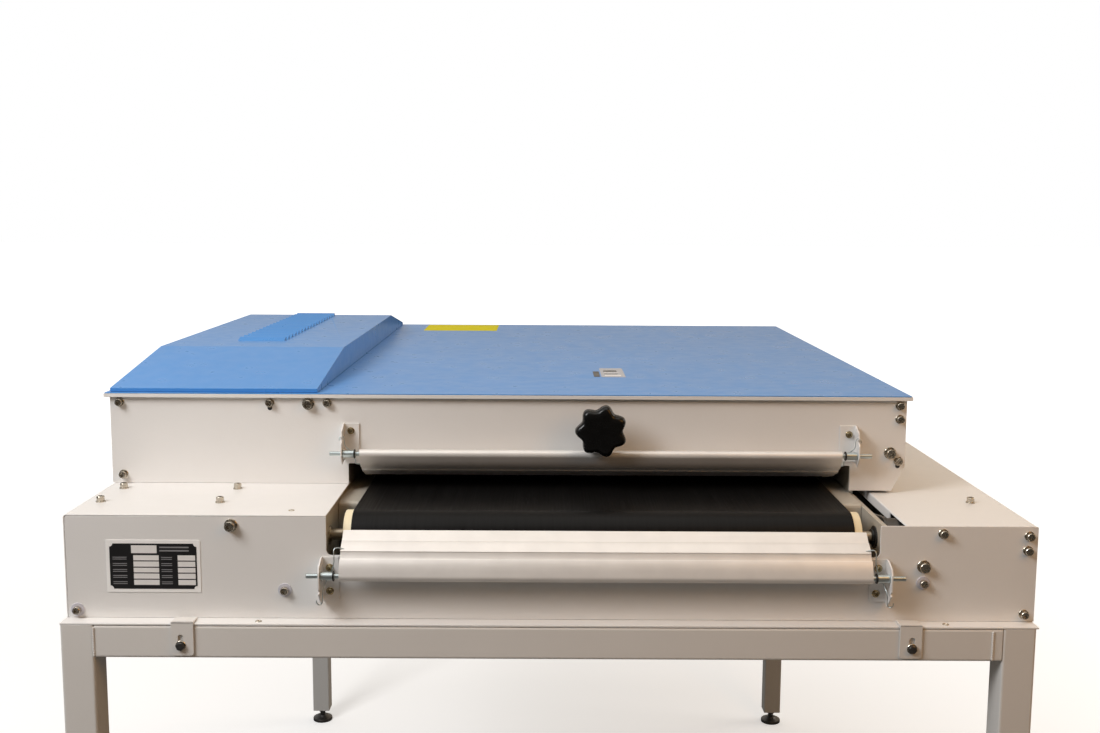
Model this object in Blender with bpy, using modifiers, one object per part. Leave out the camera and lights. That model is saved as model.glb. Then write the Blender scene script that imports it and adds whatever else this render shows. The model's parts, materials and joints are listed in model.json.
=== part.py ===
"""Continuous belt fusing press for garment interlinings, on a square-tube stand.

Two endless belts carry the work between an upper and a lower heating plate and through a pair
of press rollers. X runs across the belts, +Y runs from the outlet end to the infeed end, and
+Z is up. All sizes are in metres. Every part hangs on one empty, machine_frame, whose origin
is over the belts' centre line, at the outlet panel's face and at the top of the stand, so
below X is counted from the belts' centre, Y from the outlet panel and Z from the stand's top.
"""

import math

import bmesh
import bpy

# Driving dimensions.
STAND_HEIGHT = 0.780
TUBE = 0.040
TUBE_WALL = 0.0025
TUBE_CORNER = 0.003
FOOT_HEIGHT = 0.030
GAP = 0.0003
SHEET = 0.0015
PANEL = 0.002

LOWER_LENGTH = 1.500
LOWER_LEFT = -0.646
LOWER_RIGHT = 0.521
LEFT_TOP = 0.1297
RIGHT_TOP = 0.1201
TRAY_LIP = 0.021
TRAY_LEFT = -0.6473
TRAY_RIGHT = 0.5196
TRAY_TOP = 0.0025
NOTCH_HALF = 0.332
NOTCH_BOTTOM = 0.081
RIGHT_COVER_EDGE = 0.363
RIGHT_LIP_START = 0.075
RIGHT_LIP_DEPTH = 0.012
BED_TOP = 0.120
BED_SKIRT = 0.084
BED_SETBACK = 0.110

UPPER_FRONT = 0.171
UPPER_REAR = 1.130
UPPER_LEFT = -0.646
UPPER_RIGHT = 0.408
UPPER_NOTCH_RIGHT = 0.335
UPPER_NOTCH_TOP = 0.1574
UPPER_RIGHT_BOTTOM = 0.1235
CHAMFER_X = 0.3915
CHAMFER_Z = 0.156
LID_TOP = 0.2504
LID_DEPTH = 0.0047
LID_OVERHANG = 0.006
HOOD_RIGHT = -0.372
HOOD_RISE = 0.036
HOOD_HEM = 0.005
LOUVRE_ROWS = 18
LOUVRE_FIRST_Y = 0.467
LOUVRE_PITCH = 0.0257
LOUVRE_LEFT = -0.550
LOUVRE_RIGHT = -0.478
LOUVRE_HEIGHT = 0.0055

BELT_HALF = 0.305
BELT_THICK = 0.001
BELT_TOP = 0.1266
BELT_GAP = 0.0054
ROLLER_HALF = 0.315
ROLLER_RADIUS = 0.0305
SHAFT_RADIUS = 0.007
PRESS_RADIUS = 0.025
PRESS_HALF = 0.308
PLATE_INNER_LEFT = -0.336
PLATE_INNER_RIGHT = 0.337
SIDE_PLATE = 0.006

LOWER_OUTLET_Y = 0.045
LOWER_INFEED_Y = LOWER_LENGTH - LOWER_OUTLET_Y
UPPER_OUTLET_Y = 0.215
UPPER_INFEED_Y = 1.085
PRESS_Y = 0.300
HEAT_START = 0.340
HEAT_END = 0.960
HEAT_HALF = 0.300
HEAT_PLATE = 0.006

KNOB_X = 0.002
KNOB_Z = 0.210
KNOB_FRONT = 0.118
KNOB_RADIUS = 0.034
KNOB_LOBES = 7
KNOB_HALF_DIP = 0.0031
KNOB_LEAN = 12
SPINDLE_RADIUS = 0.006
SPINDLE_LENGTH = 0.167
NUT_START = 0.236
NUT_END = 0.256
ROCKER_PIVOT_Y = 0.420
ROCKER_PIVOT_Z = 0.215
ROCKER_PIN = 0.005
ROCKER_ARM = 0.006
ROCKER_ARM_X = 0.319
ROCKER_BAR_BOTTOM = 0.200
ROCKER_BAR_TOP = 0.216

SCRAPER_LEFT = -0.3135
SCRAPER_RIGHT = 0.3185
SCRAPER_REACH = 0.0585
SCRAPER_SHAFT_RADIUS = 0.003
SCRAPER_SHAFT_LEFT = -0.353
SCRAPER_SHAFT_RIGHT = 0.358
LOWER_SCRAPER_Y = -0.020
LOWER_SCRAPER_Z = 0.0615
UPPER_SCRAPER_Y = 0.150
UPPER_SCRAPER_Z = 0.1745
LOWER_SCRAPER_LEAN = 53.4
UPPER_SCRAPER_LEAN = 39.4
LEFT_EAR_X = -0.338
RIGHT_EAR_X = 0.341
BRACKET_WIDTH = 0.021
BRACKET_THICK = 0.0018

MOTOR_Y = 0.330
MOTOR_Z = 0.055
SPROCKET_X = 0.345
CHAIN_WIDTH = 0.005
MOTOR_SHAFT = 0.026
ROLLER_SPROCKET_RADIUS = 0.021
MOTOR_SPROCKET_RADIUS = 0.015

# Controls: place across and up, and for the infeed panel the radius of the hole.
CONTROL_REAR = 1.1333
BUTTON_STEM = 0.005
START_BUTTON = (-0.405, 0.210)
STOP_BUTTON = (-0.405, 0.170)
SPEED_DIAL = (-0.460, 0.190)
INFEED_STOP = (-0.480, 0.070, 0.007)
INFEED_SWITCH = (-0.560, 0.070, 0.007)
INFEED_GLAND = (-0.600, 0.028, 0.009)
INFEED_OUTERMOST = 1.528
OUTLET_OUTERMOST = -0.028

# Derived places.
BELT_INNER = ROLLER_RADIUS + GAP
BELT_OUTER = BELT_INNER + BELT_THICK
LOWER_AXIS_Z = BELT_TOP - BELT_OUTER
UPPER_AXIS_Z = BELT_TOP + BELT_GAP + BELT_OUTER
LOWER_PRESS_Z = BELT_TOP - BELT_THICK - GAP - PRESS_RADIUS
UPPER_PRESS_Z = BELT_TOP + BELT_GAP + BELT_THICK + GAP + PRESS_RADIUS
LID_UNDERSIDE = LID_TOP - SHEET
HOOD_BASE = LID_TOP + 2 * GAP + 0.001
CENTRE_X = (UPPER_LEFT - LID_OVERHANG + LOWER_RIGHT) / 2
CENTRE_Y = (OUTLET_OUTERMOST + INFEED_OUTERMOST) / 2
STAND_RIGHT = LOWER_RIGHT - 0.004
STAND_LEFT = TRAY_LEFT
SIDE_PLATE_FRONT = UPPER_FRONT + 0.012
SIDE_PLATE_REAR = UPPER_REAR - 0.012
BEARING_HOLE = SHAFT_RADIUS + GAP

ROUND = 32
SMALL_ROUND = 16
SMOOTH_ANGLE = math.radians(35)

for old in list(bpy.data.objects):
    bpy.data.objects.remove(old, do_unlink=True)

PARTS = bpy.data.collections.new("fusing_press")
CUTTERS = bpy.data.collections.new("cutters")
CUTTERS.hide_render = True
for collection in (PARTS, CUTTERS):
    bpy.context.scene.collection.children.link(collection)

MACHINE = bpy.data.objects.new("machine_frame", None)
MACHINE.location = (-CENTRE_X, -CENTRE_Y, STAND_HEIGHT)
PARTS.objects.link(MACHINE)

TURN = {
    "X": (0.0, math.pi / 2, 0.0),
    "Y": (-math.pi / 2, 0.0, 0.0),
    "Z": (0.0, 0.0, 0.0),
}
LIE = {
    "YZ": (math.pi / 2, 0.0, math.pi / 2),
    "XZ": (math.pi / 2, 0.0, 0.0),
    "XY": (0.0, 0.0, 0.0),
}


def make_material(name, colour, roughness, metallic=0.0):
    material = bpy.data.materials.new(name)
    material.use_nodes = True
    shader = material.node_tree.nodes["Principled BSDF"]
    shader.inputs["Base Color"].default_value = (*colour, 1.0)
    shader.inputs["Roughness"].default_value = roughness
    shader.inputs["Metallic"].default_value = metallic
    return material


CREAM = make_material("cream_powder_coat", (0.78, 0.75, 0.69), 0.45)
BEIGE = make_material("beige_powder_coat", (0.52, 0.47, 0.40), 0.5)
BLUE = make_material("blue_powder_coat", (0.09, 0.27, 0.55), 0.35)
BELT_BLACK = make_material("black_belt", (0.012, 0.012, 0.013), 0.6)
IVORY = make_material("ivory_roller", (0.80, 0.72, 0.52), 0.5)
ALUMINIUM = make_material("satin_aluminium", (0.80, 0.80, 0.80), 0.35, 1.0)
STEEL = make_material("bright_steel", (0.55, 0.53, 0.50), 0.35, 1.0)
DARK_STEEL = make_material("dark_steel", (0.10, 0.10, 0.10), 0.45, 1.0)
BLACK = make_material("black_plastic", (0.015, 0.015, 0.016), 0.35)
SILICONE = make_material("red_silicone", (0.45, 0.08, 0.05), 0.6)
GREEN = make_material("green_plastic", (0.02, 0.35, 0.08), 0.4)
RED = make_material("red_plastic", (0.55, 0.02, 0.02), 0.4)


def place(obj, material, location=(0, 0, 0), rotation=(0, 0, 0), helper=False):
    """Puts the object on the machine frame, as a part or as a hidden helper."""
    obj.location = location
    obj.rotation_euler = rotation
    obj.parent = MACHINE
    (CUTTERS if helper else PARTS).objects.link(obj)
    if helper:
        obj.hide_render = True
        obj.display_type = "WIRE"
    else:
        obj.data.materials.append(material)
    return obj


def block(name, low, high, material=None, bevel=0.0):
    """A rectangular block between two corners; with no material it is a helper."""
    mesh = bpy.data.meshes.new(name)
    shape = bmesh.new()
    bmesh.ops.create_cube(shape, size=1.0)
    size = [b - a for a, b in zip(low, high)]
    bmesh.ops.scale(shape, vec=size, verts=shape.verts)
    shape.to_mesh(mesh)
    shape.free()
    centre = [(a + b) / 2 for a, b in zip(low, high)]
    obj = bpy.data.objects.new(name, mesh)
    place(obj, material, centre, helper=material is None)
    if bevel:
        rounding = obj.modifiers.new("edge_round", "BEVEL")
        rounding.width = bevel
        rounding.segments = 2
    return obj


def turned(name, profile, axis, origin, material=None, steps=ROUND):
    """A turned piece. The profile lists (radius, place along the axis), from the far end back."""
    mesh = bpy.data.meshes.new(name)
    points = [(radius, 0.0, along) for radius, along in profile]
    edges = [(i, i + 1) for i in range(len(points) - 1)]
    if profile[0][0] > 0:
        edges.append((len(points) - 1, 0))
    mesh.from_pydata(points, edges, [])
    obj = bpy.data.objects.new(name, mesh)
    place(obj, material, origin, TURN[axis], helper=material is None)
    screw = obj.modifiers.new("turn", "SCREW")
    screw.steps = screw.render_steps = steps
    screw.use_merge_vertices = True
    screw.merge_threshold = 0.00001
    screw.use_smooth_shade = True
    return obj


def plate(name, outlines, plane, low, high, material=None, pivot=(0.0, 0.0)):
    """A flat piece: an outline, and any holes, extruded from low to high across the plane.

    The pivot is the point in the plane where the object's origin goes: its joint's axis."""
    curve = bpy.data.curves.new(name, "CURVE")
    curve.dimensions = "2D"
    curve.fill_mode = "BOTH"
    curve.extrude = (high - low) / 2
    for outline in outlines:
        spline = curve.splines.new("POLY")
        spline.points.add(len(outline) - 1)
        for point, (u, v) in zip(spline.points, outline):
            point.co = (u - pivot[0], v - pivot[1], 0.0, 1.0)
        spline.use_cyclic_u = True
    middle = (low + high) / 2
    centre = {"YZ": (middle, *pivot), "XZ": (pivot[0], middle, pivot[1]), "XY": (*pivot, middle)}[plane]
    obj = bpy.data.objects.new(name, curve)
    return place(obj, material, centre, LIE[plane], helper=material is None)


def as_mesh(obj):
    """The same piece as a welded mesh, which Boolean and Bevel can work on."""
    bpy.context.view_layer.update()
    graph = bpy.context.evaluated_depsgraph_get()
    mesh = bpy.data.meshes.new_from_object(obj.evaluated_get(graph))
    shape = bmesh.new()
    shape.from_mesh(mesh)
    bmesh.ops.remove_doubles(shape, verts=shape.verts, dist=0.00001)
    bmesh.ops.recalc_face_normals(shape, faces=shape.faces)
    shape.to_mesh(mesh)
    shape.free()
    mesh.shade_smooth()
    mesh.set_sharp_from_angle(angle=SMOOTH_ANGLE)
    solid = bpy.data.objects.new(obj.name + "_solid", mesh)
    solid.parent = MACHINE
    solid.location = obj.location
    solid.rotation_euler = obj.rotation_euler
    solid.hide_render = obj.hide_render
    solid.display_type = obj.display_type
    obj.users_collection[0].objects.link(solid)
    name = obj.name
    bpy.data.objects.remove(obj, do_unlink=True)
    solid.name = name
    return solid


def combine(target, other, operation):
    """Cuts the other piece from the target, or joins it on; the other must be a helper."""
    boolean = target.modifiers.new(other.name, "BOOLEAN")
    boolean.operation = operation
    boolean.solver = "EXACT"
    boolean.object = other
    return target


def circle(centre_u, centre_v, radius, count=SMALL_ROUND):
    angles = [2 * math.pi * i / count for i in range(count)]
    return [(centre_u + radius * math.cos(a), centre_v + radius * math.sin(a)) for a in angles]


def rectangle(u0, v0, u1, v1):
    return [(u0, v0), (u1, v0), (u1, v1), (u0, v1)]


def arc(centre, radius, start, end, count):
    """Points along an arc, angles in degrees."""
    points = []
    for i in range(count + 1):
        angle = math.radians(start + (end - start) * i / count)
        points.append((centre[0] + radius * math.cos(angle), centre[1] + radius * math.sin(angle)))
    return points


def rounded(corners, closed=True, count=3):
    """An outline whose corners (u, v, radius) are replaced by arcs."""
    points = []
    total = len(corners)
    for i, (u, v, radius) in enumerate(corners):
        if radius == 0 or (not closed and i in (0, total - 1)):
            points.append((u, v))
            continue
        before = corners[i - 1]
        after = corners[(i + 1) % total]
        back = math.atan2(before[1] - v, before[0] - u)
        ahead = math.atan2(after[1] - v, after[0] - u)
        opening = (ahead - back + math.pi) % (2 * math.pi) - math.pi
        reach = radius / abs(math.sin(opening / 2))
        middle = back + opening / 2
        centre = (u + reach * math.cos(middle), v + reach * math.sin(middle))
        side = math.copysign(math.pi / 2, opening)
        sweep = math.copysign(math.pi - abs(opening), -opening)
        for k in range(count + 1):
            angle = back - side + sweep * k / count
            points.append((centre[0] + radius * math.cos(angle), centre[1] + radius * math.sin(angle)))
    return points


def strip(path, thickness):
    """The closed outline of a bent sheet: the path is its outer face, the metal lies on its left."""
    inner = []
    last = len(path) - 1
    for i, (u, v) in enumerate(path):
        normals = []
        for a, b in ((i - 1, i), (i, i + 1)):
            if a < 0 or b > last:
                continue
            du, dv = path[b][0] - path[a][0], path[b][1] - path[a][1]
            length = math.hypot(du, dv)
            normals.append((-dv / length, du / length))
        nu = sum(n[0] for n in normals) / len(normals)
        nv = sum(n[1] for n in normals) / len(normals)
        scale = thickness / (nu * nu + nv * nv)
        inner.append((u + nu * scale, v + nv * scale))
    return path + inner[::-1]


def loop_round(first, first_radius, second, second_radius, count=12):
    """The outline of a band stretched round two wheels."""
    du, dv = second[0] - first[0], second[1] - first[1]
    apart = math.hypot(du, dv)
    heading = math.degrees(math.atan2(dv, du))
    lean = math.degrees(math.acos((first_radius - second_radius) / apart))
    near = arc(first, first_radius, heading + lean, heading + 360 - lean, count)
    far = arc(second, second_radius, heading - lean, heading + lean, count)
    return near + far


def toothed(centre, tip, root, teeth):
    """A sprocket's outline, with flat-topped teeth."""
    points = []
    pitch = 360 / teeth
    for i in range(teeth):
        for share, radius in ((0.0, root), (0.22, root), (0.42, tip), (0.80, tip)):
            angle = math.radians((i + share) * pitch)
            points.append((centre[0] + radius * math.cos(angle), centre[1] + radius * math.sin(angle)))
    return points


# ---------------------------------------------------------------- stand


def build_stand():
    rear_legs = LOWER_LENGTH + TRAY_LIP - TUBE
    columns = {"left": STAND_LEFT, "right": STAND_RIGHT - TUBE}
    rows = {"outlet": -TRAY_LIP, "infeed": rear_legs}
    leg_bottom = -STAND_HEIGHT + FOOT_HEIGHT
    for side, x in columns.items():
        for end, y in rows.items():
            stand_leg(f"stand_leg_{end}_{side}", x, y, leg_bottom)
            levelling_foot(f"levelling_foot_{end}_{side}", x + TUBE / 2, y + TUBE / 2)
    inner_left = STAND_LEFT + TUBE + GAP
    inner_right = STAND_RIGHT - TUBE - GAP
    for end, y in rows.items():
        tube(f"stand_rail_{end}", "X", inner_left, inner_right, y, -TUBE)
    for side, x in columns.items():
        low = -TRAY_LIP + TUBE + GAP
        tube(f"stand_rail_{side}", "Y", low, rear_legs - GAP, x, -TUBE)


def tube(name, axis, start, end, across, bottom):
    """A length of square tube, open at both ends, lying along X or Y."""
    outer = rounded([(u, v, TUBE_CORNER) for u, v in
                     rectangle(across, bottom, across + TUBE, bottom + TUBE)])
    inner = rectangle(across + TUBE_WALL, bottom + TUBE_WALL,
                      across + TUBE - TUBE_WALL, bottom + TUBE - TUBE_WALL)
    plane = "YZ" if axis == "X" else "XZ"
    return plate(name, [outer, inner], plane, start, end, BEIGE)


def stand_leg(name, x, y, bottom):
    """A leg: square tube with a welded plate at its foot, which the foot's stud passes."""
    outer = rounded([(u, v, TUBE_CORNER) for u, v in rectangle(x, y, x + TUBE, y + TUBE)])
    leg = as_mesh(plate(name, [outer], "XY", bottom, 0.0, BEIGE))
    wall, base = TUBE_WALL, 0.006
    hollow = block(name + "_hollow", (x + wall, y + wall, bottom + base),
                   (x + TUBE - wall, y + TUBE - wall, 0.01))
    combine(leg, hollow, "DIFFERENCE")
    middle = (x + TUBE / 2, y + TUBE / 2, bottom)
    stud_hole = turned(name + "_stud_hole", [(0, 0.01), (0.0064, 0.01), (0.0064, -0.01), (0, -0.01)],
                       "Z", middle, steps=SMALL_ROUND)
    combine(leg, stud_hole, "DIFFERENCE")
    if name == "stand_leg_outlet_right":
        corner = [(x + 0.001, -TUBE - GAP), (x - 0.012, -TUBE - GAP), (x - 0.0005, -TUBE - 0.013),
                  (x + 0.001, -TUBE - 0.013)]
        gusset = as_mesh(plate(name + "_gusset", [corner], "XZ", y + TUBE - 0.004, y + TUBE - 0.001))
        combine(leg, gusset, "UNION")
    return leg


def levelling_foot(name, x, y):
    """Pad, lock nut and stud in one piece; the stud screws into the leg's foot plate."""
    top = FOOT_HEIGHT + 0.025
    nut = FOOT_HEIGHT - GAP
    profile = [(0, top), (0.006, top), (0.006, nut), (0.0095, nut), (0.0095, nut - 0.008),
               (0.006, nut - 0.008), (0.006, 0.014), (0.014, 0.010), (0.0225, 0.008),
               (0.0235, 0.006), (0.0235, 0.0), (0, 0)]
    return turned(name, profile, "Z", (x, y, -STAND_HEIGHT), DARK_STEEL, steps=24)


# ---------------------------------------------------------------- lower unit


def build_lower_housing():
    block("base_tray", (TRAY_LEFT, -TRAY_LIP, GAP),
          (TRAY_RIGHT, LOWER_LENGTH + TRAY_LIP, TRAY_TOP), CREAM)
    floor = TRAY_TOP + GAP
    left_edge = LOWER_LEFT + SHEET + GAP
    outline = rounded([
        (left_edge, floor, 0), (LOWER_RIGHT, floor, 0),
        (LOWER_RIGHT, RIGHT_TOP, 0.002), (NOTCH_HALF, RIGHT_TOP, 0.002),
        (NOTCH_HALF, NOTCH_BOTTOM, 0.006), (-NOTCH_HALF, NOTCH_BOTTOM, 0.006),
        (-NOTCH_HALF, LEFT_TOP - SHEET - GAP, 0), (left_edge, LEFT_TOP - SHEET - GAP, 0.003)])
    plate("outlet_panel", [outline], "XZ", 0.0, PANEL, CREAM)
    holes = [circle(x, z, radius) for x, z, radius in (INFEED_STOP, INFEED_SWITCH, INFEED_GLAND)]
    plate("infeed_panel", [outline] + holes, "XZ", LOWER_LENGTH - PANEL, LOWER_LENGTH, CREAM)

    left = rounded([(-NOTCH_HALF, LEFT_TOP, 0), (LOWER_LEFT, LEFT_TOP, 0.0035), (LOWER_LEFT, floor, 0)],
                   closed=False)
    cover = as_mesh(plate("left_cover", [strip(left, SHEET)], "XZ", 0.0, LOWER_LENGTH, CREAM))
    plate_left = PLATE_INNER_LEFT - SIDE_PLATE - GAP
    notch = block("left_cover_notch", (plate_left, SIDE_PLATE_FRONT - GAP, LEFT_TOP - 0.01),
                  (0.0, SIDE_PLATE_REAR + GAP, LEFT_TOP + 0.01))
    combine(cover, notch, "DIFFERENCE")

    lip_bottom = RIGHT_TOP - RIGHT_LIP_DEPTH
    right = rounded([(LOWER_RIGHT, floor, 0), (LOWER_RIGHT, RIGHT_TOP, 0.0035),
                     (RIGHT_COVER_EDGE, RIGHT_TOP, 0.002), (RIGHT_COVER_EDGE, lip_bottom, 0)],
                    closed=False)
    low = PANEL + GAP
    cover = as_mesh(plate("right_cover", [strip(right, SHEET)], "XZ", low, LOWER_LENGTH - low, CREAM))
    for end, y0, y1 in (("outlet", 0.0, RIGHT_LIP_START),
                        ("infeed", LOWER_LENGTH - RIGHT_LIP_START, LOWER_LENGTH)):
        relief = block(f"lip_relief_{end}", (RIGHT_COVER_EDGE - 0.001, y0, lip_bottom - 0.001),
                       (RIGHT_COVER_EDGE + 0.004, y1, RIGHT_TOP - SHEET - GAP))
        combine(cover, relief, "DIFFERENCE")

    build_side_plate("left_side_plate", PLATE_INNER_LEFT - SIDE_PLATE, LEFT_TOP - 0.003)
    build_side_plate("right_side_plate", PLATE_INNER_RIGHT, RIGHT_TOP - 0.003)
    build_bed_plate()


def build_side_plate(name, x, lower_top):
    """A structural plate that carries the bearings of both units on one side."""
    floor = TRAY_TOP + GAP
    upper = LID_UNDERSIDE - 0.004
    outline = [(0.008, floor), (LOWER_LENGTH - 0.008, floor), (LOWER_LENGTH - 0.008, lower_top),
               (SIDE_PLATE_REAR, lower_top), (SIDE_PLATE_REAR, upper),
               (SIDE_PLATE_FRONT, upper), (SIDE_PLATE_FRONT, lower_top), (0.008, lower_top)]
    bearings = [(LOWER_OUTLET_Y, LOWER_AXIS_Z), (LOWER_INFEED_Y, LOWER_AXIS_Z),
                (UPPER_OUTLET_Y, UPPER_AXIS_Z), (UPPER_INFEED_Y, UPPER_AXIS_Z),
                (PRESS_Y, LOWER_PRESS_Z)]
    holes = [circle(y, z, BEARING_HOLE, 24) for y, z in bearings]
    holes.append(circle(ROCKER_PIVOT_Y, ROCKER_PIVOT_Z, ROCKER_PIN + GAP))
    plate(name, [outline] + holes, "YZ", x, x + SIDE_PLATE, BEIGE)


def build_bed_plate():
    """The folded sheet under the lower belt's upper run, with a window for the press roller."""
    start, end = BED_SETBACK, LOWER_LENGTH - BED_SETBACK
    path = rounded([(end, BED_SKIRT, 0), (end, BED_TOP, 0.005), (start, BED_TOP, 0.005),
                    (start, BED_SKIRT, 0)], closed=False)
    bed = as_mesh(plate("bed_plate", [strip(path, SHEET)], "YZ",
                        PLATE_INNER_LEFT + GAP, PLATE_INNER_RIGHT - GAP, BEIGE))
    window = block("bed_window", (-PRESS_HALF - 0.006, PRESS_Y - 0.030, BED_TOP - 0.010),
                   (PRESS_HALF + 0.006, PRESS_Y + 0.030, BED_TOP + 0.010))
    combine(bed, window, "DIFFERENCE")


def roller(name, y, z, radius, half, material, right_end=None):
    """A roller on its shaft, which runs in both side plates."""
    edge = 0.001
    left = PLATE_INNER_LEFT - SIDE_PLATE - 0.001
    right = right_end or PLATE_INNER_RIGHT + SIDE_PLATE + 0.001
    profile = [(0, right), (SHAFT_RADIUS - edge, right), (SHAFT_RADIUS, right - edge),
               (SHAFT_RADIUS, half), (radius - edge, half), (radius, half - edge),
               (radius, -half + edge), (radius - edge, -half), (SHAFT_RADIUS, -half),
               (SHAFT_RADIUS, left + edge), (SHAFT_RADIUS - edge, left), (0, left)]
    return turned(name, profile, "X", (0, y, z), material)


def belt(name, first_y, second_y, z):
    outer = loop_round((first_y, z), BELT_OUTER, (second_y, z), BELT_OUTER)
    inner = loop_round((first_y, z), BELT_INNER, (second_y, z), BELT_INNER)
    return plate(name, [outer, inner], "YZ", -BELT_HALF, BELT_HALF, BELT_BLACK)


def build_lower_mechanism():
    roller("lower_outlet_roller", LOWER_OUTLET_Y, LOWER_AXIS_Z, ROLLER_RADIUS, ROLLER_HALF, IVORY,
           right_end=SPROCKET_X + 0.026)
    roller("lower_infeed_roller", LOWER_INFEED_Y, LOWER_AXIS_Z, ROLLER_RADIUS, ROLLER_HALF, IVORY)
    roller("lower_press_roller", PRESS_Y, LOWER_PRESS_Z, PRESS_RADIUS, PRESS_HALF, SILICONE)
    belt("lower_belt", LOWER_OUTLET_Y, LOWER_INFEED_Y, LOWER_AXIS_Z)
    underside = BELT_TOP - BELT_THICK - GAP
    block("lower_heating_plate", (-HEAT_HALF, HEAT_START, BED_TOP + GAP),
          (HEAT_HALF, HEAT_END, underside), ALUMINIUM)


def build_drive():
    """Geared motor, chain and sprockets, in the right-hand compartment."""
    tip, low, high = ROLLER_SPROCKET_RADIUS, SPROCKET_X, SPROCKET_X + CHAIN_WIDTH
    centre = (LOWER_OUTLET_Y, LOWER_AXIS_Z)
    wheel = as_mesh(plate("roller_sprocket", [toothed(centre, tip, tip - 0.003, 18),
                                              circle(*centre, BEARING_HOLE, 24)],
                          "YZ", low, high, DARK_STEEL, pivot=centre))
    rim, wall, depth, neck, clear = 0.0232, 0.003, 0.018, 0.016, 0.001
    cup = [(rim, depth), (rim, clear), (neck, clear), (neck, 0.0), (BEARING_HOLE, 0.0),
           (BEARING_HOLE, 0.005), (rim - wall, 0.005), (rim - wall, depth)]
    hub = turned("roller_sprocket_cup", cup, "X", (high - 0.0005, LOWER_OUTLET_Y, LOWER_AXIS_Z))
    combine(wheel, hub, "UNION")

    tip = MOTOR_SPROCKET_RADIUS
    shaft = (MOTOR_Y, MOTOR_Z)
    small = as_mesh(plate("motor_sprocket", [toothed(shaft, tip, tip - 0.003, 12)],
                          "YZ", low, high, DARK_STEEL, pivot=shaft))
    reach = MOTOR_SHAFT
    stub = turned("motor_shaft", [(0, reach), (0.006, reach), (0.006, -0.001), (0, -0.001)],
                  "X", (low, *shaft), steps=SMALL_ROUND)
    combine(small, stub, "UNION")

    inner, link = GAP, 0.0035
    plate("drive_chain",
          [loop_round(centre, ROLLER_SPROCKET_RADIUS + inner + link,
                      shaft, MOTOR_SPROCKET_RADIUS + inner + link),
           loop_round(centre, ROLLER_SPROCKET_RADIUS + inner,
                      shaft, MOTOR_SPROCKET_RADIUS + inner)],
          "YZ", low, high, DARK_STEEL)

    face, half, depth, radius, end = low + MOTOR_SHAFT + GAP, 0.045, 0.048, 0.038, 0.138
    motor = block("gear_motor", (face, MOTOR_Y - half, 0.004), (face + depth, MOTOR_Y + half, 0.098),
                  DARK_STEEL, bevel=0.003)
    inside = depth - 0.008
    barrel = turned("motor_barrel", [(0, end), (radius - 0.004, end), (radius, end - 0.004),
                                     (radius, inside), (0, inside)], "X", (face, *shaft), steps=24)
    combine(motor, barrel, "UNION")


# ---------------------------------------------------------------- upper unit


def upper_outline():
    top = LID_UNDERSIDE - GAP
    bottom = LEFT_TOP + GAP
    return rounded([
        (UPPER_LEFT, bottom, 0), (-NOTCH_HALF, bottom, 0),
        (-NOTCH_HALF, UPPER_NOTCH_TOP, 0.002), (UPPER_NOTCH_RIGHT, UPPER_NOTCH_TOP, 0.002),
        (UPPER_NOTCH_RIGHT, UPPER_RIGHT_BOTTOM, 0.001), (CHAMFER_X, UPPER_RIGHT_BOTTOM, 0.001),
        (UPPER_RIGHT, CHAMFER_Z, 0.002), (UPPER_RIGHT, top, 0), (UPPER_LEFT, top, 0)])


def build_upper_housing():
    outline = upper_outline()
    plate("upper_front_panel", [outline, circle(KNOB_X, KNOB_Z, 0.0085)], "XZ",
          UPPER_FRONT, UPPER_FRONT + PANEL, CREAM)
    holes = [circle(x, z, BUTTON_STEM + 0.001) for x, z in (START_BUTTON, STOP_BUTTON)]
    plate("upper_rear_panel", [outline] + holes, "XZ", UPPER_REAR - PANEL, UPPER_REAR, CREAM)

    low, high = UPPER_FRONT + PANEL + GAP, UPPER_REAR - PANEL - GAP
    top = LID_UNDERSIDE - GAP
    block("upper_left_wall", (UPPER_LEFT, low, LEFT_TOP + GAP), (UPPER_LEFT + SHEET, high, top), CREAM)
    wall = rounded([(CHAMFER_X, UPPER_RIGHT_BOTTOM, 0), (UPPER_RIGHT, CHAMFER_Z, 0.003),
                    (UPPER_RIGHT, top, 0)], closed=False)
    plate("upper_right_wall", [strip(wall, SHEET)], "XZ", low, high, CREAM)

    left, right = UPPER_LEFT - LID_OVERHANG, UPPER_RIGHT + LID_OVERHANG
    front, rear = UPPER_FRONT - LID_OVERHANG, UPPER_REAR + LID_OVERHANG
    lid = block("top_frame", (left, front, LID_TOP - LID_DEPTH), (right, rear, LID_TOP), CREAM)
    hollow = block("top_frame_hollow", (left + SHEET, front + SHEET, LID_TOP - 0.02),
                   (right - SHEET, rear - SHEET, LID_UNDERSIDE))
    combine(lid, hollow, "DIFFERENCE")
    inset = 0.0008
    block("top_panel", (left + inset, front + inset, LID_TOP + GAP),
          (right - inset, rear - inset, LID_TOP + GAP + 0.001), BLUE)
    build_hood()
    build_chassis()


def hood_outline(inset, bottom):
    """The hood's side outline, or the one inside its sheet."""
    front, rear = UPPER_FRONT + 0.002 + inset, UPPER_REAR - 0.002 - inset
    hem = HOOD_BASE + HOOD_HEM - inset
    top = HOOD_BASE + HOOD_RISE - inset
    slope_front, slope_rear = 0.390 + inset / 2, 0.940 - inset / 2
    return [(front, bottom), (rear, bottom), (rear, hem), (slope_rear, top), (slope_front, top),
            (front, hem)]


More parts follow.
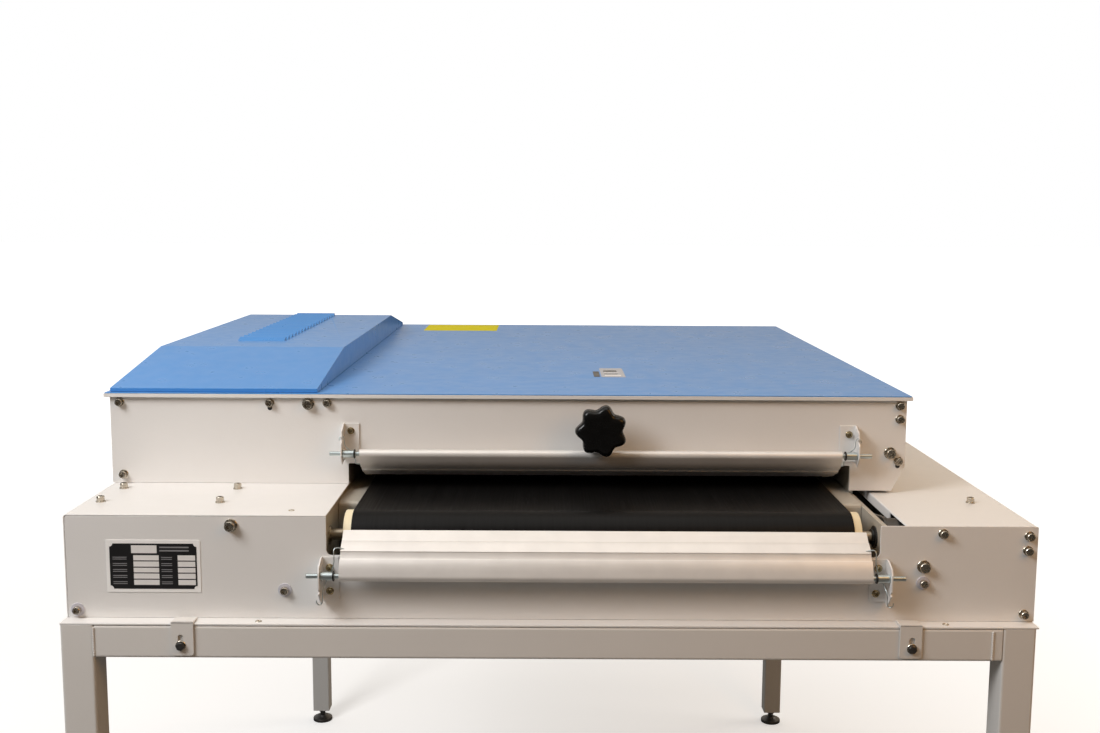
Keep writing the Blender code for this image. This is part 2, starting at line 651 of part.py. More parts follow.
def build_hood():
    """The raised cover over the electrical compartment, with pressed louvres on its flat top."""
    left, right = UPPER_LEFT, HOOD_RIGHT
    hood = as_mesh(plate("hood", [hood_outline(0.0, HOOD_BASE)], "YZ", left, right, BLUE))
    inside = as_mesh(plate("hood_inside", [hood_outline(SHEET, HOOD_BASE - 0.01)], "YZ",
                           left + SHEET, right - SHEET))
    combine(hood, inside, "DIFFERENCE")
    low = HOOD_BASE + HOOD_RISE - 0.0005
    high = low + LOUVRE_HEIGHT
    wedges = []
    for i in range(LOUVRE_ROWS):
        y = LOUVRE_FIRST_Y + i * LOUVRE_PITCH
        wedges.append([(y, low), (y + 0.016, low), (y + 0.016, high), (y + 0.013, high)])
    louvres = as_mesh(plate("hood_louvres", wedges, "YZ", LOUVRE_LEFT, LOUVRE_RIGHT))
    combine(hood, louvres, "UNION")


def build_chassis():
    """The electrical mounting plate with its contactor, transformer and relays."""
    base = LEFT_TOP + GAP
    chassis = block("electrical_chassis", (-0.620, 0.420, base), (-0.370, 1.020, base + 0.002), STEEL)
    fitted = ((-0.600, 0.450, 0.090, 0.110, 0.085), (-0.470, 0.450, 0.080, 0.080, 0.060),
              (-0.600, 0.620, 0.200, 0.090, 0.045), (-0.600, 0.780, 0.120, 0.160, 0.070))
    for i, (x, y, width, length, height) in enumerate(fitted):
        device = block(f"device_{i}", (x, y, base + 0.001), (x + width, y + length, base + height))
        combine(chassis, device, "UNION")


def build_upper_mechanism():
    roller("upper_outlet_roller", UPPER_OUTLET_Y, UPPER_AXIS_Z, ROLLER_RADIUS, ROLLER_HALF, IVORY)
    roller("upper_infeed_roller", UPPER_INFEED_Y, UPPER_AXIS_Z, ROLLER_RADIUS, ROLLER_HALF, IVORY)
    belt("upper_belt", UPPER_OUTLET_Y, UPPER_INFEED_Y, UPPER_AXIS_Z)
    floor = BELT_TOP + BELT_GAP + BELT_THICK + GAP
    block("upper_heating_plate", (-HEAT_HALF, HEAT_START, floor),
          (HEAT_HALF, HEAT_END, floor + HEAT_PLATE), ALUMINIUM)
    end, edge = ROCKER_ARM_X + ROCKER_ARM + 0.002, 0.001
    profile = [(0, end), (SHAFT_RADIUS, end), (SHAFT_RADIUS, PRESS_HALF),
               (PRESS_RADIUS - edge, PRESS_HALF), (PRESS_RADIUS, PRESS_HALF - edge),
               (PRESS_RADIUS, -PRESS_HALF + edge), (PRESS_RADIUS - edge, -PRESS_HALF),
               (SHAFT_RADIUS, -PRESS_HALF), (SHAFT_RADIUS, -end), (0, -end)]
    turned("upper_press_roller", profile, "X", (0, PRESS_Y, UPPER_PRESS_Z), SILICONE)


def build_pressure():
    """The pressure knob on its screw, the nut it moves, and the rocker with the press roller."""
    outline = []
    for i in range(KNOB_LOBES * 10):
        angle = 2 * math.pi * i / (KNOB_LOBES * 10)
        radius = KNOB_RADIUS - KNOB_HALF_DIP * (1 - math.cos(KNOB_LOBES * angle))
        turn = angle + math.radians(90 - KNOB_LEAN)
        outline.append((KNOB_X + radius * math.cos(turn), KNOB_Z + radius * math.sin(turn)))
    knob = as_mesh(plate("pressure_knob", [outline], "XZ", KNOB_FRONT, KNOB_FRONT + 0.025, BLACK,
                         pivot=(KNOB_X, KNOB_Z)))
    rounding = knob.modifiers.new("edge_round", "BEVEL")
    rounding.width = 0.004
    rounding.segments = 2
    rounding.limit_method = "ANGLE"
    rounding.angle_limit = math.radians(60)
    spindle = [(0, SPINDLE_LENGTH), (SPINDLE_RADIUS, SPINDLE_LENGTH), (SPINDLE_RADIUS, 0.044),
               (0.012, 0.042), (0.013, 0.020), (0, 0.020)]
    stem = turned("knob_spindle", spindle, "Y", (KNOB_X, KNOB_FRONT, KNOB_Z), steps=24)
    combine(knob, stem, "UNION")

    nut = rectangle(KNOB_X - 0.020, KNOB_Z - 0.012, KNOB_X + 0.020, KNOB_Z + 0.012)
    plate("pressure_nut", [nut, circle(KNOB_X, KNOB_Z, SPINDLE_RADIUS + GAP)], "XZ",
          NUT_START, NUT_END, STEEL, pivot=(KNOB_X, KNOB_Z))
    build_rocker()


def build_rocker():
    """Two arms and a cross bar on pivot pins in the side plates, carrying the press roller."""
    bar_low, bar_high = ROCKER_BAR_BOTTOM, ROCKER_BAR_TOP
    pivot = (ROCKER_PIVOT_Y, ROCKER_PIVOT_Z)
    arm = [(PRESS_Y - 0.016, UPPER_PRESS_Z - 0.012), (PRESS_Y + 0.016, UPPER_PRESS_Z - 0.012),
           (ROCKER_PIVOT_Y + 0.012, ROCKER_PIVOT_Z - 0.014), (ROCKER_PIVOT_Y + 0.012, bar_high),
           (ROCKER_PIVOT_Y + 0.004, ROCKER_PIVOT_Z + 0.012), (PRESS_Y - 0.016, bar_high)]
    hole = circle(PRESS_Y, UPPER_PRESS_Z, BEARING_HOLE, 24)
    rocker = as_mesh(plate("pressure_rocker", [arm, hole], "YZ", ROCKER_ARM_X,
                           ROCKER_ARM_X + ROCKER_ARM, STEEL, pivot=pivot))
    other = as_mesh(plate("rocker_left_arm", [arm, hole], "YZ", -ROCKER_ARM_X - ROCKER_ARM,
                          -ROCKER_ARM_X))
    bar = block("rocker_bar", (-ROCKER_ARM_X - 0.002, PRESS_Y - 0.008, bar_low),
                (ROCKER_ARM_X + 0.002, PRESS_Y + 0.008, bar_high - 0.001))
    combine(rocker, bar, "UNION")
    combine(rocker, other, "UNION")
    inside, proud = ROCKER_ARM_X + 0.002, SIDE_PLATE + 0.0005
    for side, start, end in (("left", PLATE_INNER_LEFT - proud, -inside),
                             ("right", inside, PLATE_INNER_RIGHT + proud)):
        pin = turned(f"rocker_pin_{side}", [(0, end), (ROCKER_PIN, end), (ROCKER_PIN, start),
                                            (0, start)], "X", (0, *pivot), steps=SMALL_ROUND)
        combine(rocker, pin, "UNION")


# ---------------------------------------------------------------- scrapers


def scraper_outline():
    """The extrusion's section: s runs from the shaft to the blade's tip, t is the outer side."""
    tube_radius = 0.006
    outer = [(0.0045, 0.0082), (0.0115, 0.0098), (0.0179, 0.0103), (0.0184, 0.0090),
             (0.0274, 0.0079), (0.0282, 0.0091), (0.0360, 0.0071), (0.0432, 0.0043),
             (0.0434, 0.0036), (0.0531, 0.0017), (0.0533, 0.0011)]
    tip = [(SCRAPER_REACH, 0.0), (SCRAPER_REACH, -0.0007)]
    inner = [(0.0530, -0.0004), (0.0430, 0.0015), (0.0360, 0.0042), (0.0280, 0.0062),
             (0.0180, 0.0071), (0.0100, 0.0052)]
    boss = arc((0, 0), tube_radius, 38, -250, 16)
    return boss + outer + tip + inner


def build_scraper(name, y, z, lean, mirror):
    """A scraper bar on its pivot shaft; the lean is the blade's slope from level, in degrees."""
    cos, sin = math.cos(math.radians(lean)), math.sin(math.radians(lean))
    outline = []
    for s, t in scraper_outline():
        outline.append((y + s * cos - t * sin, z + mirror * (s * sin + t * cos)))
    bar = as_mesh(plate(name, [outline], "YZ", SCRAPER_LEFT, SCRAPER_RIGHT, ALUMINIUM, pivot=(y, z)))
    radius, edge = SCRAPER_SHAFT_RADIUS, 0.0005
    left, right = SCRAPER_SHAFT_LEFT, SCRAPER_SHAFT_RIGHT
    rod = turned(name + "_shaft", [(0, right), (radius - edge, right), (radius, right - edge),
                                   (radius, left + edge), (radius - edge, left), (0, left)],
                 "X", (0, y, z), steps=SMALL_ROUND)
    combine(bar, rod, "UNION")


def build_bracket(name, side, face_y, shaft_y, shaft_z, flange_z, ear):
    """A scraper's bracket: a flange on the panel and an ear that carries the shaft."""
    outward = LEFT_EAR_X if side < 0 else RIGHT_EAR_X
    inward = outward - side * BRACKET_WIDTH
    joined = outward - side * BRACKET_THICK / 2
    low_x, high_x = min(joined, inward), max(joined, inward)
    back, front = face_y - GAP, face_y - GAP - BRACKET_THICK
    bracket = block(name, (low_x, front, flange_z[0]), (high_x, back, flange_z[1]), CREAM)
    ear_low = min(outward, outward - side * BRACKET_THICK)
    hole = circle(shaft_y, shaft_z, SCRAPER_SHAFT_RADIUS + GAP)
    cheek = as_mesh(plate(name + "_ear", [ear, hole], "YZ", ear_low, ear_low + BRACKET_THICK))
    combine(bracket, cheek, "UNION")


def build_scrapers():
    build_scraper("lower_scraper_bar", LOWER_SCRAPER_Y, LOWER_SCRAPER_Z, LOWER_SCRAPER_LEAN, 1)
    build_scraper("upper_scraper_bar", UPPER_SCRAPER_Y, UPPER_SCRAPER_Z, UPPER_SCRAPER_LEAN, -1)
    lower_ear = [(-0.0008, 0.080), (-0.010, 0.080), (-0.024, 0.074), (-0.028, 0.067),
                 (-0.028, 0.047), (-0.025, 0.044), (-0.027, 0.041), (-0.010, 0.023), (-0.0008, 0.027)]
    upper = UPPER_FRONT
    upper_ear = [(upper - 0.0008, 0.212), (upper - 0.006, 0.212), (upper - 0.022, 0.205),
                 (upper - 0.024, 0.197), (upper - 0.021, 0.194), (upper - 0.028, 0.189),
                 (upper - 0.029, 0.172), (upper - 0.020, 0.160), (upper - 0.012, 0.163),
                 (upper - 0.0008, 0.163)]
    for word, side in (("left", -1), ("right", 1)):
        build_bracket(f"lower_scraper_bracket_{word}", side, 0.0, LOWER_SCRAPER_Y, LOWER_SCRAPER_Z,
                      (0.0275, 0.0795), lower_ear)
        build_bracket(f"upper_scraper_bracket_{word}", side, upper, UPPER_SCRAPER_Y, UPPER_SCRAPER_Z,
                      (0.1635, 0.2115), upper_ear)


# ---------------------------------------------------------------- controls


def push_button(name, x, z, face, radius, length, standoff, stem, material):
    """A button: its cap stands off the face by its travel and a little more."""
    cap = standoff + length
    edge = min(0.0015, length / 4)
    profile = [(0, cap), (radius - edge, cap), (radius, cap - edge), (radius, standoff),
               (stem, standoff), (stem, -0.012), (0, -0.012)]
    turned(name, profile, "Y", (x, face, z), material, steps=24)


def build_controls():
    x, z = SPEED_DIAL
    holes = [circle(bx, bz, BUTTON_STEM + 0.001) for bx, bz in (START_BUTTON, STOP_BUTTON)]
    outline = rounded([(-0.625, 0.142, 0.004), (-0.355, 0.142, 0.004), (-0.355, 0.238, 0.004),
                       (-0.625, 0.238, 0.004)])
    plate("control_panel", [outline] + holes, "XZ", UPPER_REAR + GAP, CONTROL_REAR, ALUMINIUM)
    push_button("start_button", *START_BUTTON, CONTROL_REAR, 0.011, 0.007, 0.004, BUTTON_STEM, GREEN)
    push_button("stop_button", *STOP_BUTTON, CONTROL_REAR, 0.011, 0.007, 0.004, BUTTON_STEM, RED)

    dial = turned("speed_dial", [(0, 0.018), (0.0105, 0.018), (0.012, 0.0165), (0.013, 0.003),
                                 (0.016, 0.002), (0.016, GAP), (0, GAP)],
                  "Y", (x, CONTROL_REAR, z), BLACK, steps=24)
    pointer = block("dial_pointer", (x - 0.0011, CONTROL_REAR + 0.004, z - 0.001),
                    (x + 0.0011, CONTROL_REAR + 0.019, z + 0.0128))
    combine(dial, pointer, "UNION")

    face = LOWER_LENGTH
    x, z, hole = INFEED_STOP
    push_button("emergency_stop", x, z, face, 0.018, 0.015, 0.007, hole - 0.001, RED)

    x, z, hole = INFEED_SWITCH
    switch = turned("power_switch", [(0, 0.012), (0.019, 0.012), (0.020, 0.011), (0.020, GAP),
                                     (hole - 0.001, GAP), (hole - 0.001, -0.012), (0, -0.012)],
                    "Y", (x, face, z), BLACK, steps=24)
    grip = block("switch_grip", (x - 0.005, face + 0.010, z - 0.018),
                 (x + 0.005, INFEED_OUTERMOST, z + 0.018))
    combine(switch, grip, "UNION")

    x, z, hole = INFEED_GLAND
    body, bore = hole - GAP, 0.004
    profile = [(bore + 0.003, 0.022), (0.010, 0.020), (0.011, 0.006), (0.012, 0.006), (0.012, GAP),
               (body, GAP), (body, -0.012), (bore, -0.012), (bore, 0.022)]
    turned("cable_gland", profile, "Y", (x, face, z), BLACK, steps=SMALL_ROUND)


build_stand()
build_lower_housing()
build_lower_mechanism()
build_drive()
build_upper_housing()
build_upper_mechanism()
build_pressure()
build_scrapers()
build_controls()
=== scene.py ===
"""Visual model of the belt fusing press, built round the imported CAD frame.

Machine coordinates, as in the CAD source: X from the belts' centre, Y from the outlet panel's
face towards the infeed end, Z from the stand's top. All sizes are in metres.
"""

import json
import math

import bmesh
import bpy
from mathutils import Matrix, Vector


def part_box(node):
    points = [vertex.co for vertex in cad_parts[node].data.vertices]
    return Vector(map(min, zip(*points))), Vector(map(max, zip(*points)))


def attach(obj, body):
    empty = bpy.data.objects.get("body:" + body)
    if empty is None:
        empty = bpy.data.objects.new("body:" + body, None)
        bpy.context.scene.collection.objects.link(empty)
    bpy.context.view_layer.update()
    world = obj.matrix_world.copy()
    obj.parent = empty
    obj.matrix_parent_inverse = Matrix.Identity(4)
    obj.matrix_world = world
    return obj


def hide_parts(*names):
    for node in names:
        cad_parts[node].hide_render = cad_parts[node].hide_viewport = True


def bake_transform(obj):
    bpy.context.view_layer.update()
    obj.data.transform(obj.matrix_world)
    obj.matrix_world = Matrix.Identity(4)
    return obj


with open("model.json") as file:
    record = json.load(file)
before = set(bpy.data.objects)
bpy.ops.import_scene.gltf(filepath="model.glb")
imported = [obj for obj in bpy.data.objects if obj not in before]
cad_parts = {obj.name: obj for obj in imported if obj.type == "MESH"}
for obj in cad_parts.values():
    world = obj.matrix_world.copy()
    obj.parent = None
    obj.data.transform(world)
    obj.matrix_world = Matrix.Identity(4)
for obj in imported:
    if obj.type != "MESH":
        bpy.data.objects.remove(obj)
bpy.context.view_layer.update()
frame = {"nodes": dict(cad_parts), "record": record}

RECORD = frame["record"]
BODY_OF = {node: body for body, nodes in RECORD["behaviour"]["bodies"].items() for node in nodes}
SLOT_OF = {part["node"]: part["material_slot"] for part in RECORD["subparts"]}


def machine_origin():
    low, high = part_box("lower_belt")
    return Vector(((low.x + high.x) / 2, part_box("outlet_panel")[0].y,
                   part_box("stand_rail_outlet")[1].z))


ORIGIN = machine_origin()


def at(x, y, z):
    """A point given in machine coordinates, in the row frame."""
    return ORIGIN + Vector((x, y, z))


def machine_box(node):
    """A CAD node's lowest and highest corners, in machine coordinates."""
    low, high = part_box(node)
    return low - ORIGIN, high - ORIGIN


# ---------------------------------------------------------------- materials


class Finish:
    """A material being made: a Principled shader and noise measured in metres on the object."""

    def __init__(self, name, colour, roughness, metallic=0.0, **sockets):
        self.material = bpy.data.materials.new(name)
        self.material.use_nodes = True
        self.tree = self.material.node_tree
        self.shader = self.tree.nodes["Principled BSDF"]
        self.colour = colour
        self.shader.inputs["Base Color"].default_value = (*colour, 1.0)
        self.shader.inputs["Roughness"].default_value = roughness
        self.shader.inputs["Metallic"].default_value = metallic
        for key, value in sockets.items():
            self.shader.inputs[key.replace("_", " ")].default_value = value
        self.place = self.tree.nodes.new("ShaderNodeTexCoord").outputs["Object"]

    def noise(self, cells, detail=2.0):
        """Noise with that many cells to the metre, along X, Y and Z or the same along all."""
        if isinstance(cells, (int, float)):
            cells = (cells, cells, cells)
        mapping = self.tree.nodes.new("ShaderNodeMapping")
        mapping.inputs["Scale"].default_value = cells
        self.tree.links.new(self.place, mapping.inputs["Vector"])
        noise = self.tree.nodes.new("ShaderNodeTexNoise")
        noise.inputs["Scale"].default_value = 1.0
        noise.inputs["Detail"].default_value = detail
        self.tree.links.new(mapping.outputs["Vector"], noise.inputs["Vector"])
        return noise.outputs["Fac"]

    def spread(self, value, low, high, start=0.3, end=0.7):
        """The value's usual range, stretched to run from low to high."""
        node = self.tree.nodes.new("ShaderNodeMapRange")
        node.inputs["From Min"].default_value = start
        node.inputs["From Max"].default_value = end
        node.inputs["To Min"].default_value = low
        node.inputs["To Max"].default_value = high
        self.tree.links.new(value, node.inputs["Value"])
        return node.outputs["Result"]

    def sum(self, first, second, share):
        """First plus share times second."""
        node = self.tree.nodes.new("ShaderNodeMath")
        node.operation = "MULTIPLY_ADD"
        self.tree.links.new(second, node.inputs[0])
        node.inputs[1].default_value = share
        self.tree.links.new(first, node.inputs[2])
        return node.outputs["Value"]

    def mottle(self, value, amount, toward=None):
        """Lets the colour run from a darker to a lighter one, or toward a given colour."""
        dark = [c * (1 - amount) for c in self.colour]
        light = toward or [min(1.0, c * (1 + amount)) for c in self.colour]
        mix = self.tree.nodes.new("ShaderNodeMix")
        mix.data_type = "RGBA"
        mix.inputs[6].default_value = (*dark, 1.0)
        mix.inputs[7].default_value = (*light, 1.0)
        self.tree.links.new(self.spread(value, 0.0, 1.0), mix.inputs[0])
        self.tree.links.new(mix.outputs[2], self.shader.inputs["Base Color"])

    def gloss(self, value, low, high):
        self.tree.links.new(self.spread(value, low, high), self.shader.inputs["Roughness"])

    def bump(self, height, distance):
        node = self.tree.nodes.new("ShaderNodeBump")
        node.inputs["Strength"].default_value = 1.0
        node.inputs["Distance"].default_value = distance
        self.tree.links.new(height, node.inputs["Height"])
        self.tree.links.new(node.outputs["Normal"], self.shader.inputs["Normal"])


def powder_coat(name, colour, roughness, peel, cells=330.0, **sockets):
    """Sprayed powder paint: orange peel a few millimetres across, with a finer grain over it."""
    finish = Finish(name, colour, roughness, **sockets)
    coarse, fine = finish.noise(cells, 1.0), finish.noise(cells * 4.5, 2.0)
    finish.bump(finish.sum(coarse, fine, 0.25), peel)
    finish.gloss(finish.noise(45.0, 3.0), roughness - 0.04, roughness + 0.05)
    finish.mottle(finish.noise(7.0, 4.0), 0.018)
    return finish.material


def brushed(name, colour, roughness, along, peel=0.000004, metallic=1.0):
    """Metal with fine lines along X, Y or Z; satin anodising lowers how metallic it is."""
    finish = Finish(name, colour, roughness, metallic=metallic)
    cells = [1600.0, 1600.0, 1600.0]
    cells["XYZ".index(along)] = 14.0
    lines = finish.noise(tuple(cells), 3.0)
    finish.bump(lines, peel)
    finish.gloss(lines, roughness - 0.07, roughness + 0.09)
    finish.mottle(finish.noise(30.0, 3.0), 0.04)
    return finish.material


def plated(name, colour, roughness):
    """Zinc-plated or turned steel, slightly cloudy."""
    finish = Finish(name, colour, roughness, metallic=1.0)
    cloud = finish.noise(420.0, 3.0)
    finish.gloss(cloud, roughness - 0.08, roughness + 0.12)
    finish.mottle(finish.noise(160.0, 3.0), 0.09)
    finish.bump(finish.noise(2400.0, 1.0), 0.000003)
    return finish.material


def moulded(name, colour, roughness, grain=0.000012, **sockets):
    """Moulded plastic with a fine spark-eroded grain."""
    finish = Finish(name, colour, roughness, **sockets)
    finish.bump(finish.noise(1500.0, 2.0), grain)
    finish.gloss(finish.noise(110.0, 3.0), roughness - 0.04, roughness + 0.07)
    finish.mottle(finish.noise(60.0, 2.0), 0.05)
    return finish.material


def belt_fabric():
    """Coated glass fabric: a fine plain weave, with faint lengthwise rub marks."""
    finish = Finish("belt_fabric", (0.0042, 0.0041, 0.0043), 0.4, Specular_IOR_Level=0.17)
    rub = finish.noise((420.0, 5.0, 5.0), 4.0)
    weave = finish.noise((900.0, 900.0, 900.0), 1.0)
    finish.bump(finish.sum(weave, rub, 0.6), 0.000022)
    finish.gloss(rub, 0.33, 0.43)
    finish.mottle(rub, 0.3)
    return finish.material


def ground_rubber(name, colour, roughness):
    finish = Finish(name, colour, roughness)
    finish.bump(finish.noise((900.0, 1500.0, 1500.0), 2.0), 0.00002)
    finish.gloss(finish.noise(70.0, 3.0), roughness - 0.05, roughness + 0.08)
    finish.mottle(finish.noise(26.0, 4.0), 0.06)
    return finish.material


def printed(name, colour, roughness=0.42, **sockets):
    """Label stock or a printed field, nearly even."""
    finish = Finish(name, colour, roughness, **sockets)
    finish.gloss(finish.noise(90.0, 3.0), roughness - 0.05, roughness + 0.06)
    finish.mottle(finish.noise(40.0, 3.0), 0.03)
    return finish.material


CREAM = powder_coat("cream_coat", (0.80, 0.785, 0.765), 0.36, 0.00007, cells=240.0)
STAND = powder_coat("stand_coat", (0.735, 0.708, 0.672), 0.42, 0.00008, cells=260.0)
# A darker, browner copy of the cream for the parts inside the machine: painted shade, for the
# inside lying in shadow.
INNER_SHADE = powder_coat("inner_coat", (0.45, 0.41, 0.345), 0.40, 0.00005)
BLUE = powder_coat("blue_coat", (0.070, 0.275, 0.66), 0.31, 0.000007, cells=240.0)
BELT = belt_fabric()
LAGGING = ground_rubber("roller_lagging", (0.83, 0.73, 0.50), 0.48)
SILICONE = ground_rubber("press_silicone", (0.45, 0.08, 0.05), 0.50)
ALUMINIUM = brushed("aluminium", (0.83, 0.81, 0.785), 0.38, "X", metallic=0.35)
PLATE_ALUMINIUM = brushed("control_aluminium", (0.74, 0.74, 0.74), 0.36, "X")
DARK_STEEL = plated("dark_steel", (0.13, 0.125, 0.12), 0.42)
STEEL = plated("bright_steel", (0.66, 0.64, 0.60), 0.27)
SHAFT_STEEL = brushed("shaft_steel", (0.42, 0.36, 0.28), 0.30, "Y")
SCREW_STEEL = plated("screw_zinc", (0.56, 0.51, 0.43), 0.22)
YELLOW_ZINC = plated("yellow_zinc", (0.44, 0.36, 0.22), 0.27)
COLLAR_ZINC = brushed("collar_zinc", (0.55, 0.62, 0.63), 0.34, "X", peel=0.0000005)
DEVICE = moulded("device_plastic", (0.25, 0.25, 0.26), 0.45)
BLACK = moulded("black_plastic", (0.0025, 0.0025, 0.0027), 0.24, grain=0.000006,
                Specular_IOR_Level=0.35)
WASHER_BLACK = moulded("washer_black", (0.012, 0.012, 0.012), 0.4)
WHITE_PLASTIC = moulded("washer_white", (0.58, 0.57, 0.62), 0.35)
GREEN = moulded("green_plastic", (0.02, 0.35, 0.08), 0.3)
RED = moulded("red_plastic", (0.55, 0.02, 0.02), 0.3)
YELLOW_PLASTIC = moulded("yellow_plastic", (0.75, 0.55, 0.03), 0.35)
PLATE_SILVER = printed("plate_silver", (0.94, 0.93, 0.91), 0.36)
PLATE_BLACK = printed("plate_black", (0.012, 0.012, 0.013), 0.33)
PLATE_WHITE = printed("plate_white", (0.82, 0.80, 0.78), 0.5)
LABEL_YELLOW = printed("label_yellow", (0.74, 0.65, 0.004), 0.6, Specular_IOR_Level=0.08)
LABEL_GREY = printed("label_grey", (0.46, 0.47, 0.50), 0.5)
PLATE_PRINT = printed("plate_print", (0.27, 0.27, 0.28), 0.5)
SLOT_FINISH = {
    "cream_coat": CREAM, "stand_coat": STAND, "inner_coat": INNER_SHADE, "blue_coat": BLUE,
    "belt_fabric": BELT, "roller_lagging": LAGGING, "press_silicone": SILICONE,
    "aluminium": ALUMINIUM, "dark_steel": DARK_STEEL, "bright_steel": STEEL,
    "device_plastic": DEVICE, "black_plastic": BLACK, "green_plastic": GREEN, "red_plastic": RED,
}


# ---------------------------------------------------------------- shapes

# An edge bent by more than this is drawn sharp: on turned and cut pieces, and on CAD sheets.
SHARP = math.radians(32)
FOLD = math.radians(11)


def piece(name, shape, material, body="machine", stands_for=(), slot=None, bevel=0.0, segments=2,
          sharp=SHARP):
    """Turns a bmesh in the row frame into a finished piece that rides on its body."""
    bmesh.ops.recalc_face_normals(shape, faces=shape.faces)
    mesh = bpy.data.meshes.new(name)
    shape.to_mesh(mesh)
    shape.free()
    mesh.shade_smooth()
    mesh.set_sharp_from_angle(angle=sharp)
    mesh.materials.append(material)
    obj = bpy.data.objects.new(name, mesh)
    bpy.context.scene.collection.objects.link(obj)
    if bevel:
        rounding = obj.modifiers.new("edges", "BEVEL")
        rounding.width = bevel
        rounding.segments = segments
        rounding.limit_method = "ANGLE"
        rounding.angle_limit = SHARP
        rounding.use_clamp_overlap = True
        rounding.harden_normals = True
    if body:
        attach(obj, body)
    if stands_for:
        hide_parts(*stands_for)
    return obj


def refine(node, bevel=0.0004, material=None):
    """A CAD node's own shape, welded, with rounded edges and a finished surface."""
    shape = bmesh.new()
    shape.from_mesh(frame["nodes"][node].data)
    bmesh.ops.remove_doubles(shape, verts=shape.verts, dist=0.00001)
    bmesh.ops.dissolve_limit(shape, angle_limit=math.radians(0.5), verts=shape.verts,
                             edges=shape.edges)
    slot = SLOT_OF[node]
    return piece(node + "_fine", shape, material or SLOT_FINISH[slot], BODY_OF[node], (node,),
                 slot, bevel, sharp=FOLD)


def axes_for(axis):
    """Unit vectors: along the axis, then two across it."""
    sign = -1.0 if axis.startswith("-") else 1.0
    along = Vector([sign if c == axis[-1] else 0.0 for c in "XYZ"])
    side = Vector((0, 0, 1)) if axis[-1] != "Z" else Vector((1, 0, 0))
    return along, side, along.cross(side)


def turned_shape(shape, stations, origin, axis, segments=48, turn=0.0):
    """Adds a turned solid. Stations are (radius, along); a radius may depend on the angle."""
    along, side, other = axes_for(axis)
    rings = []
    for radius, distance in stations:
        centre = origin + along * distance
        if radius == 0:
            rings.append([shape.verts.new(centre)])
            continue
        ring = []
        for i in range(segments):
            angle = 2 * math.pi * i / segments
            length = radius(angle) if callable(radius) else radius
            direction = side * math.cos(angle + turn) + other * math.sin(angle + turn)
            ring.append(shape.verts.new(centre + direction * length))
        rings.append(ring)
    pairs = list(zip(rings, rings[1:]))
    if len(rings[0]) > 1:
        pairs.append((rings[-1], rings[0]))
    for a, b in pairs:
        for i in range(segments):
            k = (i + 1) % segments
            if len(a) == 1:
                shape.faces.new((a[0], b[i], b[k]))
            elif len(b) == 1:
                shape.faces.new((a[i], b[0], a[k]))
            else:
                shape.faces.new((a[i], b[i], b[k], a[k]))


def turned(name, stations, origin, axis, material, segments=48, turn=0.0, **rest):
    shape = bmesh.new()
    turned_shape(shape, stations, origin, axis, segments, turn)
    return piece(name, shape, material, **rest)


def hexagon(flats):
    """The radius of a hexagon of that size across its flats, at an angle."""
    return lambda angle: flats / 2 / math.cos((angle % (math.pi / 3)) - math.pi / 6)


def knurled(radius, depth, count):
    """The radius of a rim with that many fine ridges."""
    return lambda angle: radius - depth * (0.5 - 0.5 * math.cos(count * angle))


def flat_shape(outlines, plane, low, high):
    """A flat piece in machine coordinates: an outline, and any holes, from low to high."""
    curve = bpy.data.curves.new("outline", "CURVE")
    curve.dimensions = "2D"
    curve.fill_mode = "BOTH"
    curve.extrude = (high - low) / 2
    for outline in outlines:
        spline = curve.splines.new("POLY")
        spline.points.add(len(outline) - 1)
        for point, (u, v) in zip(spline.points, outline):
            point.co = (u, v, 0.0, 1.0)
        spline.use_cyclic_u = True
    holder = bpy.data.objects.new("outline", curve)
    mesh = bpy.data.meshes.new_from_object(holder)
    shape = bmesh.new()
    shape.from_mesh(mesh)
    bpy.data.objects.remove(holder)
    bpy.data.curves.remove(curve)
    bpy.data.meshes.remove(mesh)
    bmesh.ops.remove_doubles(shape, verts=shape.verts, dist=0.000005)
    bmesh.ops.dissolve_limit(shape, angle_limit=math.radians(0.5), verts=shape.verts,
                             edges=shape.edges)
    middle = (low + high) / 2
    for vert in shape.verts:
        u, v, w = vert.co
        vert.co = {"XZ": at(u, middle - w, v), "YZ": at(middle + w, u, v),
                   "XY": at(u, v, middle + w)}[plane]
    return shape


def flat(name, outlines, plane, low, high, material, **rest):
    return piece(name, flat_shape(outlines, plane, low, high), material, **rest)


def arc(centre, radius, start, end, count):
    points = []
    for i in range(count + 1):
        angle = math.radians(start + (end - start) * i / count)
        points.append((centre[0] + radius * math.cos(angle), centre[1] + radius * math.sin(angle)))
    return points


def rectangle(u0, v0, u1, v1):
    return [(u0, v0), (u1, v0), (u1, v1), (u0, v1)]


def soft_rectangle(u0, v0, u1, v1, radius, count=6):
    """A rectangle whose corners are rounded."""
    return (arc((u1 - radius, v0 + radius), radius, -90, 0, count)
            + arc((u1 - radius, v1 - radius), radius, 0, 90, count)
            + arc((u0 + radius, v1 - radius), radius, 90, 180, count)
            + arc((u0 + radius, v0 + radius), radius, 180, 270, count))


def smooth_path(points, steps=6):
    """A Catmull-Rom line through the points."""
    ends = [points[0] * 2 - points[1], *points, points[-1] * 2 - points[-2]]
    line = []
    for a, b, c, d in zip(ends, ends[1:], ends[2:], ends[3:]):
        for i in range(steps):
            t = i / steps
            line.append(0.5 * (2 * b + (c - a) * t + (2 * a - 5 * b + 4 * c - d) * t * t
                               + (3 * b - a - 3 * c + d) * t ** 3))
    return line + [points[-1]]


